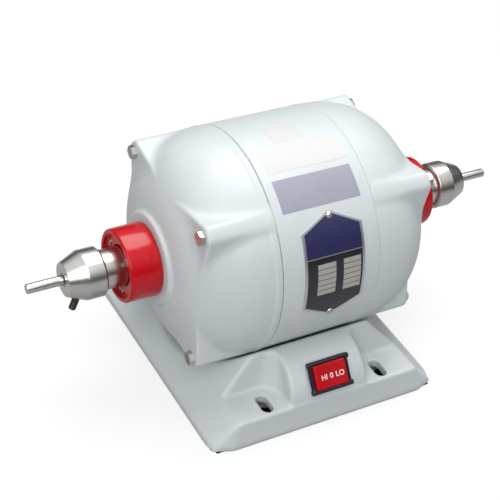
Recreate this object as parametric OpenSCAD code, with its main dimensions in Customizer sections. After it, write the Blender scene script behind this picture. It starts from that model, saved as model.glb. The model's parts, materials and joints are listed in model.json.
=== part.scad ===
// Dental polishing lathe: a two-speed bench motor on a cast base, with a quick-release chuck at each end.
// Millimetres. The origin is the centre of the base's underside. +X runs along the spindle, the
// switch faces -Y and +Z is up. Each spindle end is drawn at +X and mirrored for the left one.

/* [Base casting] */
// Width of the base along the spindle
base_w = 167.4; // [155:0.1:190]
// Depth of the base from front to back
base_d = 191.2; // [184:0.1:210]
// Height of the upright rim round the bottom edge
rim_h = 4; // [3:0.5:6]
// Corner radius of the bottom edge
base_corner_r = 16; // [8:1:22]
// Height of the deck in front of and behind the motor
deck_h = 44; // [42:0.5:46]
// Width of the deck between the sloped flanks
deck_w = 88; // [80:1:96]
// Height of the shelf in each corner pocket
shelf_h = 19; // [17:0.5:21]
// Width of the casting at shelf height
shelf_w = 134; // [128:1:142]
// Lean of the front face, from its foot to the shelf
front_lean = 3.6; // [2:0.2:6]
// Radius of the rolled front and back edges of the deck
roll_r = 27; // [25:0.5:29]
// Wall thickness of the casting
base_wall = 6; // [4.5:0.5:7]
// Distance from the centre plane to the side wall of a pocket
pocket_x = 27.5; // [27:0.5:30]
// Depth of a pocket, from the outer edge of the base to its back wall
pocket_depth = 33.6; // [31:0.2:36]
// Draft of the pocket walls, from shelf to deck
pocket_draft = 5.5; // [2:0.5:6]
// Corner radius inside a pocket, at the deck
pocket_r = 8; // [5:1:10]
// Corner radius inside a pocket, at the shelf
pocket_floor_r = 16; // [10:1:18]
// Gap between the motor and the cradle in the deck
cradle_gap = 1.5; // [1:0.25:3]

/* [Bolting down] */
// Distance of the bolt slots from the centre plane, along the spindle
slot_x = 43.1; // [40:0.1:48]
// Distance of the bolt slots' middle from the front or back edge of the base
slot_inset = 13.6; // [12.5:0.1:15]
// Width of a bolt slot
slot_w = 8; // [6:0.5:10]
// Length of a bolt slot, end to end
slot_len = 15.5; // [12:0.5:17]

/* [Bottom cover] */
// Thickness of the sheet steel cover plate
cover_t = 1.5; // [1:0.25:2]
// Recess of the cover plate above the rim
cover_recess = 1; // [0.5:0.25:1.25]
// Distance of the cover screws from the centre plane, along the spindle
cover_screw_x = 58; // [50:1:62]
// Distance of the cover screws from the centre plane, front to back
cover_screw_y = 44; // [38:1:48]
// Thread diameter of the cover screws
cover_screw_d = 4; // [3:0.5:4]

/* [Motor] */
// Height of the spindle axis above the bench
axis_h = 91.8; // [90:0.1:94]
// Height of the motor's underside above the bench; the motor fills the rest up to the spindle axis
motor_lift = 16.8; // [16:0.1:18]
// Width of the stator shell between the end bells
shell_w = 69.2; // [62:0.2:72]
// Wall thickness of the stator shell
shell_wall = 4; // [3.5:0.25:5]
// Length of the stator core and the rotor core
core_w = 56; // [48:1:58]
// Depth of the stator core, from its outside to its bore
core_depth = 33.98; // [31:0.01:36]
// Air gap between rotor and stator
air_gap = 0.4; // [0.3:0.1:0.8]
// Number of slots in the stator core
slot_count = 24; // [18:6:30]
// Number of bars in the rotor cage
bar_count = 28; // [20:2:32]
// Number of fan blades on each end ring
blade_count = 8; // [6:1:10]

/* [End bells] */
// Distance from the centre plane to the bolt seats
boss_x = 79.8; // [78:0.2:81]
// Distance from the centre plane to the face of the hub
hub_x = 91; // [90:0.25:92]
// Radius of the raised hub round the knob
hub_r = 30.5; // [29:0.5:32]
// Distance from the centre plane to the dome's crown, if it ran on to the spindle axis
dome_x = 90; // [88.5:0.25:92]
// Fullness of the dome: 2 gives an ellipse, more gives a squarer shoulder
dome_power = 3; // [2.6:0.1:3.4]
// Wall thickness of an end bell
bell_wall = 5; // [4:0.5:6]
// Diameter of the through bolts
bolt_d = 5; // [4:0.5:5]
// Width of a hexagon head or nut across its corners
bolt_head_d = 9.2; // [8:0.2:10]

/* [Bearings] */
// Outer diameter of a bearing
bearing_od = 40; // [38:1:42]
// Bore of a bearing
bearing_id = 17; // [16.5:0.5:18]
// Width of a bearing
bearing_w = 12; // [10:1:13]
// Distance from the centre plane to the bearing's outer face
bearing_x = 84; // [83:0.5:84.5]
// Diameter of a ball
ball_d = 6.7; // [6:0.1:7]
// Number of balls in a bearing
ball_count = 8; // [6:1:9]

/* [Release knob] */
// Outer diameter of the knob at its back edge
knob_d = 48.3; // [46:0.1:50]
// Taper of the knob's diameter, back to front
knob_taper = 0.4; // [0:0.1:3]
// Length of the knob
knob_len = 21.4; // [19.5:0.1:22]
// Depth of the recess in the knob's face
knob_recess = 3.2; // [1:0.1:4]
// Turn of the knob that frees the chuck, in degrees
knob_turn = 90; // [60:5:95]
// Travel of the ejector sleeve over that turn
eject_travel = 3; // [2:0.25:3.5]
// Radius of the circle of face screws
knob_screw_circle_r = 18.6; // [18:0.1:19]
// Thread diameter of the face screws
knob_screw_d = 3; // [2.5:0.5:3]
// Diameter of the ejector's cross pins
cross_pin_d = 3; // [2.5:0.25:3.5]
// Outer radius of the ejector sleeve
sleeve_r = 13; // [12.5:0.1:13.2]

/* [Chuck] */
// Distance from the centre plane to the chuck's back face
chuck_x = 104.2; // [104:0.1:105]
// Outer diameter of the chuck's neck
neck_d = 25.6; // [24:0.1:26]
// Length of the neck that shows between knob and nose
neck_end_x = 124.2; // [122:0.1:127]
// Largest diameter of the nose
nose_d = 32; // [30:0.1:35]
// Length of the nose's cylindrical part
nose_cyl_len = 11.8; // [8:0.1:14]
// Length of the nose's cone
nose_cone_len = 12; // [9:0.1:14]
// Diameter of the nose's front face
nose_face_d = 22; // [18:0.1:24]
// Diameter of the pin that the left chuck holds
left_pin_d = 6.35; // [5:0.05:8]
// Diameter of the pin that the right chuck holds
right_pin_d = 6; // [5:0.05:8]
// Diameter of the shank that each pin has inside its chuck
shank_d = 5.4; // [4:0.1:5.6]
// Distance from the centre plane to the pin's tip
pin_tip_x = 172; // [160:0.5:185]
// Diameter of the clamp screw
clamp_screw_d = 5; // [4:0.5:6]
// Height of the clamp screw above the nose
clamp_screw_out = 9; // [6:0.5:14]
// Tilt of the clamp screw towards the front of the nose
clamp_screw_tilt = 25; // [0:1:26]
// Turn of the left clamp screw about the spindle; 0 points to the back and 90 up, in degrees
left_clamp_turn = -98; // [-180:1:180]
// Turn of the right clamp screw about the spindle, in degrees
right_clamp_turn = -42; // [-180:1:180]
// Radius of the spindle's taper at its thick end
taper_r = 8.4; // [8:0.1:8.5]
// Radius of the spindle's taper at its thin end
taper_tip_r = 7; // [6:0.1:7.5]
// Length of the taper inside the chuck
taper_len = 28; // [22:0.5:29]

/* [Rocker switch] */
// Width of the bezel along the spindle
bezel_w = 30.5; // [28:0.1:33]
// Height of the bezel along the slope
bezel_h = 21.6; // [20:0.1:24]
// Distance of the switch from the centre plane
switch_x = 1.2; // [0:0.1:2]
// Elevation of the switch's face direction, on the rolled front
switch_elev = 37; // [32:1:41]
// Width of the bezel beside the paddle
bezel_side = 3.75; // [3.25:0.25:4.5]
// Height of the bezel above and below the paddle
bezel_lip = 2.6; // [2.5:0.1:3.6]
// Largest tilt of the paddle to each side, in degrees
paddle_tilt = 10; // [6:1:12]
// Diameter of the bezel's rounded top and bottom bars
bezel_bar_d = 3.6; // [3:0.1:4]

/* [Name plate] */
// Width of the blank name plate
plate_w = 43; // [36:0.5:50]
// Length of the plate between its two points, along the shell
plate_len = 74.6; // [64:0.2:78]
// Length of the plate's straight sides, along the shell
plate_side = 51.5; // [44:0.5:54]
// Elevation of the plate's middle above the spindle's height, in degrees
plate_elev = 15; // [10:1:20]
// Thickness of the plate
plate_t = 0.8; // [0.5:0.1:1.2]
// Distance of each rivet from the plate's middle, along the shell
rivet_reach = 34; // [28:0.5:35]

/* [Rear wall] */
// Distance of the cord inlet from the centre plane
inlet_x = 12; // [11.5:0.5:14]
// Height of the cord inlet
inlet_z = 20; // [18:0.5:21]
// Bore of the cord inlet bush
inlet_d = 8; // [6:0.5:9]

/* [Clearances] */
// Radial running clearance between turning or sliding metal parts
run_gap = 0.05; // [0.02:0.01:0.1]
// Gap between parts that face each other and must not rub
face_gap = 0.3; // [0.2:0.05:0.5]
// Clearance round a part that is pushed into a hole by hand
drop_gap = 0.1; // [0.05:0.05:0.2]
// Gap left where one fixed part is seated on another
seat_gap = 0.02; // [0.01:0.01:0.05]

/* [Hidden] */
$fn = 96;
eps = 0.01;

enamel = "#cdd2d1";
red = "#c8141e";
black = "#17171a";
steel = "#c9c9c7";
dark_steel = "#6b6c6e";
laminate = "#8b8c8e";
copper = "#b0642e";
aluminium = "#b9bcbf";
brass = "#b59a4c";

// Motor's outside, worked out
shell_r = axis_h - motor_lift;

// Base, worked out
half_d = base_d / 2;
pocket_y = half_d - pocket_depth;
slot_y = half_d - slot_inset;
front_y = half_d - front_lean;
roll_y = front_y - roll_r;
roll_z = deck_h - roll_r;
shelf_floor_z = shelf_h - base_wall;
cradle_r = shell_r + cradle_gap;
rib_t = base_wall * 2 / 3;
cover_top = cover_recess + cover_t;
ceiling_z = axis_h - cradle_r - base_wall;
pad_x = shell_w / 2 - 12.6;
pad_len = 20;
pad_half_y = 20;
motor_screw_d = 6;
motor_screw_bite = shell_wall * 0.8;
screw_column_r = cover_screw_d / 2 + 2.6;
cover_screw_bite = 7;

// Motor, worked out
shell_half = shell_w / 2;
shell_in_r = shell_r - shell_wall;
core_r = shell_in_r - seat_gap;
core_bore_r = core_r - core_depth;
rotor_r = core_bore_r - air_gap;
shaft_r = 10;
spigot_len = 2;
spigot_t = 3.4;
bell_round_x = shell_half - 8.6;
bolt_circle_r = shell_in_r - bolt_d / 2 - 0.7;
boss_nose_r = shell_r - bolt_circle_r + 0.6;
boss_skin_r = shell_r - 0.15;
boss_foot_r = shell_r - 16;
boss_foot_angle = 17;
bolt_angles = [45, 135, 225, 315];
bolt_head_h = 3.4;
slot_out_r = core_bore_r + 20;
winding_end_x = core_w / 2 + 20;
cage_bar_r = 2;
cage_circle_r = rotor_r - cage_bar_r - 1.6;
cage_ring_w = 6;
blade_len = 9;
washer_t = 0.8;
washer_gap = 0.1;

// Bearings, worked out
bearing_r = bearing_od / 2;
journal_r = bearing_id / 2;
pitch_r = (bearing_r + journal_r) / 2;
race_land = 2.5;
bearing_mid_x = bearing_x - bearing_w / 2;
web_x = bearing_x + washer_t + 2 * washer_gap;
web_t = 1.6;

// Release mechanism, worked out
knob_back_x = hub_x + face_gap;
knob_front_x = knob_back_x + knob_len;
knob_face_x = knob_front_x - knob_recess;
knob_wall_t = 5.4;
knob_wall_x = knob_face_x - knob_wall_t;
guide_bore_r = sleeve_r + run_gap;
guide_r = sleeve_r + 3.4;
guide_end_x = knob_wall_x - 0.8;
ring_in_r = guide_r + 2 * run_gap;
ring_out_r = ring_in_r + 4.2;
ring_back_x = knob_back_x + 1;
cross_pin_x = hub_x + 4.6;
cross_pin_reach = ring_out_r - 0.6;
cam_slot_d = cross_pin_d + 4 * run_gap;
cam_length = ring_in_r * knob_turn * PI / 180;
cam_run = norm([cam_length, eject_travel]);
cam_slope = atan2(eject_travel, cam_length);
sleeve_back_x = hub_x - 2;
sleeve_end_x = chuck_x - face_gap;
sleeve_in_r = taper_r + 0.6;
knob_screw_angle = 20;
cross_pin_angles = [for (i = [0:2]) knob_screw_angle - (120 - knob_turn) / 2 + i * 120];
knob_screw_bite = 5;
knob_screw_head_d = knob_screw_d * 1.8;

// Chuck, worked out
nose_shoulder_x = neck_end_x + nose_cyl_len;
nose_face_x = nose_shoulder_x + nose_cone_len;
taper_end_x = chuck_x + taper_len;
pin_back_x = taper_end_x + 1;
mouth_depth = 2;
mouth_r = max(left_pin_d, right_pin_d) / 2 + 1.2;
clamp_tip_r = clamp_screw_d * 0.2;
clamp_screw_x = nose_shoulder_x + nose_cone_len * 0.29;
clamp_screw_r = nose_d / 2 - (clamp_screw_x - nose_shoulder_x) * (nose_d - nose_face_d) / 2 / nose_cone_len;
// Depth of the clamp screw below the cone: its tip stops just short of the pin's shank
clamp_screw_in = (clamp_screw_r - shank_d / 2 - face_gap) / cos(clamp_screw_tilt)
    - clamp_tip_r * tan(clamp_screw_tilt);

// Switch, worked out
switch_y = -(roll_y + roll_r * cos(switch_elev));
switch_z = roll_z + roll_r * sin(switch_elev);
seat_drop = 1.2;
bezel_t = 2.6;
bezel_top = bezel_t - seat_drop;
paddle_w = bezel_w - 2 * bezel_side;
paddle_h = bezel_h - 2 * bezel_lip;
housing_w = bezel_w - 2.4;
housing_h = bezel_h - 2.4;
housing_depth = 17;
window_h = paddle_h + 2 * face_gap;
pivot_len = (window_h + housing_h) / 2;
pivot_z = -3;
pivot_d = 2.4;
paddle_top = bezel_top + 1.3;
paddle_end_r = norm([paddle_w / 2, (paddle_top + bezel_top) / 2 - pivot_z]);
paddle_bottom = pivot_z - 2.4;
blade_w = 4.8;
blade_t = 0.8;
terminal_pitch_x = 8.6;
terminal_pitch_y = 8;
terminal_len = 8;

// Name plate, worked out
plate_x = 1.6;
rivet_head_r = 2.5;
rivet_head_h = 1.6;
rivet_shank_r = 1.2;

// Rear bay, worked out
inlet_boss_r = 10.5;
inlet_boss_y = half_d - 2.6;
inlet_tube_r = inlet_d / 2 + 2.2;
inlet_flange_r = inlet_tube_r + 2.4;
inlet_inner_y = roll_y + roll_r - base_wall - 2;
inlet_seat_y = inlet_boss_y - 0.3;
cap_y = roll_y - 7;
cap_z = cover_top + 1;
cap_depth = 20;
// The lower of the two roofs over the bay: the cradle's, and the rolled edge's over the outer end
cap_roof_z = min(axis_h - sqrt(pow(cradle_r + base_wall, 2) - pow(cap_y, 2)),
    deck_h - roll_r + sqrt(pow(roll_r - base_wall, 2) - pow(cap_y + cap_depth - roll_y, 2)));
strap_t = 1;
cap_x = base_wall - pocket_x + strap_t + 0.6;
cap_size = [inlet_x - inlet_boss_r - strap_t - 0.8 - cap_x, cap_depth, cap_roof_z - cap_z - 2.2];
strap_w = 8;
strap_foot = 7.5;

// Grommet, worked out
grommet_x = -(shell_half + 11.4);
grommet_r = 6;
grommet_bore_r = 3.5;
grommet_lip = 1.4;

// ---------- helpers ----------

// Turns a shape drawn along +Z so that it runs along the spindle, at the spindle's height
module on_axis() {
    translate([0, 0, axis_h]) rotate([90, 0, 90]) children();
}

// A shape of revolution about the spindle; the profile's points are [radius, x]
module turned(profile) {
    on_axis() rotate_extrude() polygon(profile);
}

// A cylinder along the spindle from x0 to x1
module bar(x0, x1, r, r_end = undef) {
    on_axis() translate([0, 0, x0]) cylinder(h = x1 - x0, r1 = r, r2 = is_undef(r_end) ? r : r_end);
}

// A tube along the spindle
module tube(x0, x1, r_out, r_in) {
    turned([[r_in, x0], [r_out, x0], [r_out, x1], [r_in, x1]]);
}

// Places children on a circle about the spindle; an angle of 0 points to +Y and 90 to +Z
module around(angles, r) {
    for (a = angles) on_axis() rotate([0, 0, a]) translate([r, 0, 0]) children();
}

module left_right() {
    for (side = [0, 1]) mirror([side, 0, 0]) children();
}

module four_corners() {
    for (sx = [-1, 1], sy = [-1, 1]) scale([sx, sy, 1]) children();
}

module rounded_rect(w, d, r) {
    for (s = [[w, d - 2 * r], [w - 2 * r, d]]) square(s, center = true);
    for (sx = [-1, 1], sy = [-1, 1]) translate([sx * (w / 2 - r), sy * (d / 2 - r)]) circle(r);
}

// ---------- base ----------

// The casting's outline seen from the side: a low block with a rolled front and back edge
module roll_profile(inset) {
    for (side = [-1, 1]) translate([side * roll_y, roll_z]) circle(roll_r - inset);
    translate([-roll_y, 0]) square([2 * roll_y, deck_h - inset]);
    translate([inset - front_y, 0]) square([2 * (front_y - inset), roll_z]);
}

// The casting's outline seen from the front above the shelves: sloped flanks
module flank_profile(inset) {
    cut = inset * 1.35;
    slope = (shelf_w - deck_w) / 2 / (deck_h - shelf_h);
    polygon([
        [-shelf_w / 2 + cut - slope, shelf_h - 1], [shelf_w / 2 - cut + slope, shelf_h - 1],
        [deck_w / 2 - cut, deck_h], [-deck_w / 2 + cut, deck_h]
    ]);
}

module upper_form(inset) {
    intersection() {
        rotate([90, 0, 90]) linear_extrude(shelf_w + 10, center = true) roll_profile(inset);
        rotate([90, 0, 0]) linear_extrude(base_d, center = true) flank_profile(inset);
    }
}

// The foot of the casting, lofted from the rounded bottom edge up to the shelves
module lower_form(inset) {
    hull() {
        linear_extrude(rim_h) rounded_rect(base_w - 2 * inset, base_d - 2 * inset, base_corner_r - inset / 2, $fn = 64);
        translate([0, 0, shelf_h - eps]) linear_extrude(eps)
            rounded_rect(shelf_w - 2 * inset * 1.35, 2 * (front_y - inset), 2);
    }
}

// One corner pocket, open to the outside and above its shelf
module pocket() {
    rise = deck_h - shelf_h;
    hull() {
        translate([pocket_x + pocket_draft / 4, pocket_y + pocket_draft, shelf_h]) pocket_slab(pocket_floor_r);
        translate([pocket_x, pocket_y, shelf_h + rise]) pocket_slab(pocket_r);
    }
}

module pocket_slab(r) {
    reach = half_d;
    linear_extrude(eps) {
        translate([r, r]) circle(r, $fn = 48);
        translate([r, 0]) square([reach, reach]);
        translate([0, r]) square([reach, reach]);
    }
}

// The space that the motor needs, less the two saddle pads that carry it
module cradle_cut() {
    difference() {
        bar(-base_w, base_w, cradle_r);
        left_right() translate([pad_x - pad_len / 2, -pad_half_y, 0]) cube([pad_len, 2 * pad_half_y, axis_h]);
    }
    bar(-base_w, base_w, shell_r + seat_gap);
}

// The hollow underside: even walls, with ribs that close the corner bays off from the middle one
module base_hollow() {
    difference() {
        union() {
            translate([0, 0, -eps]) intersection() {
                lower_form(base_wall);
                linear_extrude(shelf_h) square([base_w, base_d], center = true);
            }
            upper_form(base_wall);
        }
        bar(-base_w, base_w, cradle_r + base_wall);
        four_corners() {
            translate([pocket_x - base_wall, pocket_y - base_wall, shelf_floor_z]) cube([base_w, base_d, deck_h]);
            translate([pocket_x - rib_t, pocket_y - rib_t, cover_top]) difference() {
                cube([base_w, base_d, deck_h]);
                translate([rib_t, rib_t, -1]) cube([base_w, base_d, deck_h + 2]);
            }
            translate([cover_screw_x, cover_screw_y, cover_top]) cylinder(h = deck_h, r = screw_column_r);
        }
    }
}

// The motor's two screws, the leads' way out of the motor and the cover screws
module base_holes() {
    left_right() translate([pad_x, 0, 0]) cylinder(h = axis_h, d = motor_screw_d + 0.6);
    translate([grommet_x, 0, 0]) cylinder(h = axis_h, r = grommet_r + drop_gap);
    four_corners() translate([cover_screw_x, cover_screw_y, 0])
        cylinder(h = shelf_floor_z, d = cover_screw_d);
}

module bolt_slot() {
    run = (slot_len - slot_w) / 2;
    translate([slot_x, slot_y, -1]) {
        for (s = [-1, 1]) translate([0, s * run, 0]) cylinder(h = deck_h, d = slot_w);
        translate([-slot_w / 2, -run, 0]) cube([slot_w, 2 * run, deck_h]);
    }
}

// A flat seat for the switch on the rolled front, and the opening that its housing drops through
module switch_cut() {
    at_switch() {
        translate([-bezel_w / 2 - 1, -bezel_h / 2 - 1, -seat_drop]) cube([bezel_w + 2, bezel_h + 2, 20]);
        translate([-housing_w / 2 - drop_gap, -housing_h / 2 - drop_gap, -base_wall * 2.5])
            cube([housing_w + 2 * drop_gap, housing_h + 2 * drop_gap, base_wall * 3]);
    }
}

module base_casting() {
    color(enamel) difference() {
        union() {
            lower_form(0);
            difference() {
                upper_form(0);
                four_corners() pocket();
            }
            at_inlet() cylinder(h = inlet_boss_y - roll_y, r = inlet_boss_r);
        }
        base_hollow();
        cradle_cut();
        base_holes();
        four_corners() bolt_slot();
        switch_cut();
        at_inlet() translate([0, 0, -1]) cylinder(h = base_d, r = inlet_tube_r + drop_gap);
        at_inlet() translate([0, 0, inlet_seat_y - roll_y]) cylinder(h = base_d, r = inlet_flange_r + face_gap);
    }
}

module bottom_cover() {
    edge = base_wall + 0.6;
    color(dark_steel) difference() {
        translate([0, 0, cover_recess]) linear_extrude(cover_t) {
            square([base_w - 2 * edge, 2 * pocket_y], center = true);
            square([2 * pocket_x, base_d - 2 * edge], center = true);
        }
        four_corners() translate([cover_screw_x, cover_screw_y, 0])
            cylinder(h = deck_h, d = cover_screw_d + 2 * drop_gap);
        clamp_rivet_places() cylinder(h = deck_h, r = 1.5, center = true);
    }
}

module cover_screws() {
    color(steel) four_corners() translate([cover_screw_x, cover_screw_y, 0]) {
        translate([0, 0, cover_recess - 0.8]) cylinder(h = 0.8, d = cover_screw_d * 1.9);
        translate([0, 0, cover_recess - eps]) cylinder(h = cover_t + cover_screw_bite, d = cover_screw_d - 2 * seat_gap);
    }
}

module motor_screws() {
    top = axis_h - shell_r + motor_screw_bite;
    color(dark_steel) left_right() translate([pad_x, 0, 0]) {
        translate([0, 0, ceiling_z - 3.6]) cylinder(h = 3.6, d = motor_screw_d * 1.7, $fn = 6);
        translate([0, 0, ceiling_z - eps]) cylinder(h = top - ceiling_z + eps, d = motor_screw_d - 2 * seat_gap);
    }
}

// Rubber tube that brings the leads from the left end bell down into the base
module lead_grommet() {
    top = axis_h - shell_r + bell_wall + 2.4;
    color(black) translate([grommet_x, 0, 0]) difference() {
        union() {
            translate([0, 0, ceiling_z - grommet_lip]) cylinder(h = grommet_lip, r = grommet_r + 1.6);
            translate([0, 0, ceiling_z - eps]) cylinder(h = top - ceiling_z, r = grommet_r);
        }
        cylinder(h = axis_h, r = grommet_bore_r);
    }
}

// ---------- rear bay ----------

module at_inlet() {
    translate([inlet_x, roll_y, inlet_z]) rotate([-90, 0, 0]) children();
}

module cord_inlet_bush() {
    back = inlet_inner_y - roll_y;
    face = inlet_boss_y - roll_y;
    seat = inlet_seat_y - roll_y;
    color(black) at_inlet() rotate_extrude() polygon([
        [inlet_d / 2, back], [inlet_tube_r, back], [inlet_tube_r, seat + seat_gap],
        [inlet_flange_r, seat + seat_gap], [inlet_flange_r, face + 1.2],
        [inlet_tube_r + 1, face + 2.4], [inlet_d / 2, face + 2.4]
    ]);
}

module run_capacitor() {
    color("#d8d6cc") translate([cap_x, cap_y, cap_z]) {
        cube(cap_size);
        for (s = [-1, 1]) translate([cap_size[0] / 2 + s * 5, cap_size[1] / 2 - blade_w / 2, cap_size[2] - eps])
            cube([blade_t, blade_w, 2.5]);
    }
}

// Sheet strap over the capacitor, riveted to the cover plate on both sides
module capacitor_clamp() {
    y0 = cap_y - drop_gap;
    y1 = cap_y + cap_size[1] + drop_gap;
    z0 = cover_top;
    z1 = cap_z + cap_size[2] * 0.55;
    width = cap_size[0] + 2 * drop_gap;
    color(dark_steel) difference() {
        translate([cap_x - drop_gap - strap_t, 0, 0]) union() {
            translate([0, y0 - strap_t, z1 - strap_w]) cube([width + 2 * strap_t, y1 - y0 + 2 * strap_t, strap_w]);
            for (y = [y0 - strap_t, y1]) translate([strap_t + width / 2 - strap_w / 2, y, z0])
                cube([strap_w, strap_t, z1 - z0]);
            translate([strap_t + width / 2 - strap_w / 2, y0 - strap_foot, z0])
                cube([strap_w, y1 - y0 + 2 * strap_foot, strap_t]);
        }
        translate([cap_x - drop_gap, y0, z0 + strap_t - eps]) cube([width, y1 - y0, deck_h]);
        clamp_rivet_places() cylinder(h = deck_h, r = 1.5, center = true);
    }
}

module clamp_rivet_places() {
    x = cap_x + cap_size[0] / 2;
    for (y = [cap_y - strap_foot / 2 - strap_t, cap_y + cap_size[1] + strap_foot / 2 + strap_t])
        translate([x, y, 0]) children();
}

module capacitor_clamp_rivets() {
    color(aluminium) clamp_rivet_places() {
        translate([0, 0, cover_recess]) cylinder(h = cover_t + strap_t + eps, r = 1.5 - seat_gap);
        translate([0, 0, cover_top + strap_t]) cylinder(h = 0.9, r = 2.4);
    }
}

// ---------- rocker switch ----------

// Local frame of the switch: X along the spindle, Y up the slope, Z out of the panel
module at_switch() {
    translate([switch_x, switch_y, switch_z]) rotate([90 - switch_elev, 0, 0]) children();
}

// The round path of the paddle's ends about its pivot
module paddle_sweep(r, length) {
    translate([0, 0, pivot_z]) rotate([90, 0, 0]) cylinder(h = length, r = r, center = true);
}

module switch_housing() {
    color(black) at_switch() difference() {
        union() {
            translate([-bezel_w / 2 + 1.1, -bezel_h / 2 + 1, -seat_drop]) cube([bezel_w - 2.2, bezel_h - 2, bezel_t - 0.4]);
            for (s = [-1, 1]) translate([0, s * (bezel_h - bezel_bar_d) / 2, bezel_top - bezel_bar_d / 2 + 0.3])
                rotate([0, 90, 0]) cylinder(h = bezel_w, d = bezel_bar_d, center = true);
            translate([-housing_w / 2, -housing_h / 2, -seat_drop - housing_depth])
                cube([housing_w, housing_h, housing_depth + eps]);
        }
        intersection() {
            paddle_sweep(paddle_end_r + face_gap, window_h);
            translate([-bezel_w / 2, -bezel_h / 2, paddle_bottom - 3]) cube([bezel_w, bezel_h, 20]);
        }
        translate([0, 0, pivot_z]) rotate([90, 0, 0]) cylinder(h = pivot_len + 0.2, d = pivot_d, center = true);
    }
}

module switch_pivot_pin() {
    color(steel) at_switch() translate([0, 0, pivot_z]) rotate([90, 0, 0])
        cylinder(h = pivot_len, d = pivot_d - 2 * seat_gap, center = true);
}

// Paddle with a shallow hollow across its face and round ends that follow the window
module switch_rocker() {
    dish_r = 90;
    foot = 4;
    color(red) at_switch() rotate([90, 0, 0]) linear_extrude(paddle_h, center = true) difference() {
        intersection() {
            translate([0, pivot_z]) circle(paddle_end_r);
            polygon([
                [-paddle_w, paddle_top], [-paddle_w, pivot_z + 3], [-foot, paddle_bottom],
                [foot, paddle_bottom], [paddle_w, pivot_z + 3], [paddle_w, paddle_top]
            ]);
        }
        translate([0, paddle_top + dish_r - 1.1]) circle(dish_r, $fn = 240);
        translate([0, pivot_z]) circle(d = pivot_d + 2 * run_gap);
    }
}

module switch_terminals() {
    color(brass) at_switch() for (i = [-1, 0, 1], j = [-1, 1])
        translate([i * terminal_pitch_x, j * terminal_pitch_y / 2, -seat_drop - housing_depth - terminal_len])
            translate([-blade_t / 2, -blade_w / 2, 0]) cube([blade_t, blade_w, terminal_len - seat_gap]);
}

// ---------- motor shell ----------

module stator_shell() {
    color(enamel) difference() {
        tube(-shell_half, shell_half, shell_r, shell_in_r);
        left_right() translate([pad_x, 0, 0]) cylinder(h = axis_h, d = motor_screw_d);
        rivet_places() translate([0, 0, -shell_wall - 1]) cylinder(h = shell_wall * 2, r = rivet_shank_r + drop_gap);
    }
}

// Points of a dome between two radii, each [radius, x]: a superellipse about the spindle
function dome(r_side, x_reach, r_from, r_to, n) = [
    for (i = [0:n]) let (r = r_from + (r_to - r_from) * i / n)
        [r, bell_round_x + x_reach * pow(1 - pow(r / r_side, dome_power), 1 / dome_power)]
];
hub_fillet = 3.4;
dome_reach = dome_x - bell_round_x;
edge_r = shell_r * pow(1 - pow(0.74, dome_power), 1 / dome_power);
hub_foot_x = bell_round_x + dome_reach * pow(1 - pow((hub_r + hub_fillet) / shell_r, dome_power), 1 / dome_power);
hub_rise = hub_x - 0.8 - hub_foot_x;
function bell_outside() = concat(
    [[shell_r, shell_half]],
    [for (k = [0.24:0.1:0.64]) [shell_r * pow(1 - pow(k, dome_power), 1 / dome_power), bell_round_x + dome_reach * k]],
    dome(shell_r, dome_reach, edge_r, hub_r + hub_fillet, 7),
    [for (a = [60, 30]) [hub_r + hub_fillet * (1 - cos(a)), hub_foot_x + hub_rise * (1 - sin(a))]],
    [[hub_r, hub_x - 0.8], [hub_r - 0.8, hub_x]]
);
inside_r = shell_in_r - spigot_t;
inside_reach = dome_reach - bell_wall;
function bell_inside() = concat(
    [[0, shell_half - spigot_len - 1], [inside_r, shell_half - spigot_len - 1]],
    [for (k = [0.24:0.15:0.69]) [inside_r * pow(1 - pow(k, dome_power), 1 / dome_power), bell_round_x + inside_reach * k]],
    dome(inside_r, inside_reach, inside_r * 0.82, bearing_r + bell_wall + 1, 4),
    [[bearing_r + bell_wall, bearing_x - bearing_w - 2], [bearing_r, bearing_x - bearing_w - 2]],
    [[bearing_r, web_x], [journal_r + 0.8, web_x], [journal_r + 0.8, web_x + web_t]],
    [[guide_bore_r, web_x + web_t], [guide_bore_r, guide_end_x + 1], [0, guide_end_x + 1]]
);

// A bolt boss seen along the spindle: a round nose at the bolt, with flanks that spread to the dome
module boss_outline() {
    foot = [boss_foot_r * cos(boss_foot_angle), boss_foot_r * sin(boss_foot_angle)];
    to_foot = foot - [bolt_circle_r, 0];
    reach = norm(to_foot);
    tangent = atan2(to_foot[1], to_foot[0]) - acos(boss_nose_r / reach);
    touch = [bolt_circle_r + boss_nose_r * cos(tangent), boss_nose_r * sin(tangent)];
    inside = [touch[0], touch[1] - 0.12];
    translate([bolt_circle_r, 0]) circle(boss_nose_r);
    polygon([[40, -foot[1]], [foot[0], -foot[1]], [inside[0], -inside[1]], inside, foot, [40, foot[1]]]);
}

module end_bell() {
    color(enamel) difference() {
        union() {
            turned(concat([[0, shell_half]], bell_outside(), [[0, hub_x]]));
            tube(shell_half - spigot_len, shell_half + 1, shell_in_r - drop_gap, shell_in_r - spigot_t - 1);
            intersection() {
                on_axis() translate([0, 0, shell_half + 0.4]) linear_extrude(boss_x - shell_half - 0.4)
                    for (a = bolt_angles) rotate(a) boss_outline();
                bar(0, hub_x, boss_skin_r);
            }
            bar(hub_x - 1, guide_end_x, guide_r);
        }
        turned(bell_inside());
        around(bolt_angles, bolt_circle_r) cylinder(h = hub_x, d = bolt_d + 2 * drop_gap);
        guide_slots();
    }
}

// Three straight slots in the guide tube keep the ejector sleeve from turning
module guide_slots() {
    r0 = guide_bore_r - 1;
    depth = guide_r - r0 + 1;
    for (shift = [0, eject_travel]) around(cross_pin_angles, r0)
        translate([0, 0, cross_pin_x + shift]) rotate([0, 90, 0]) cylinder(h = depth, d = cam_slot_d, $fn = 32);
    around(cross_pin_angles, r0) translate([0, -cam_slot_d / 2, cross_pin_x])
        cube([depth, cam_slot_d, eject_travel]);
}

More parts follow.
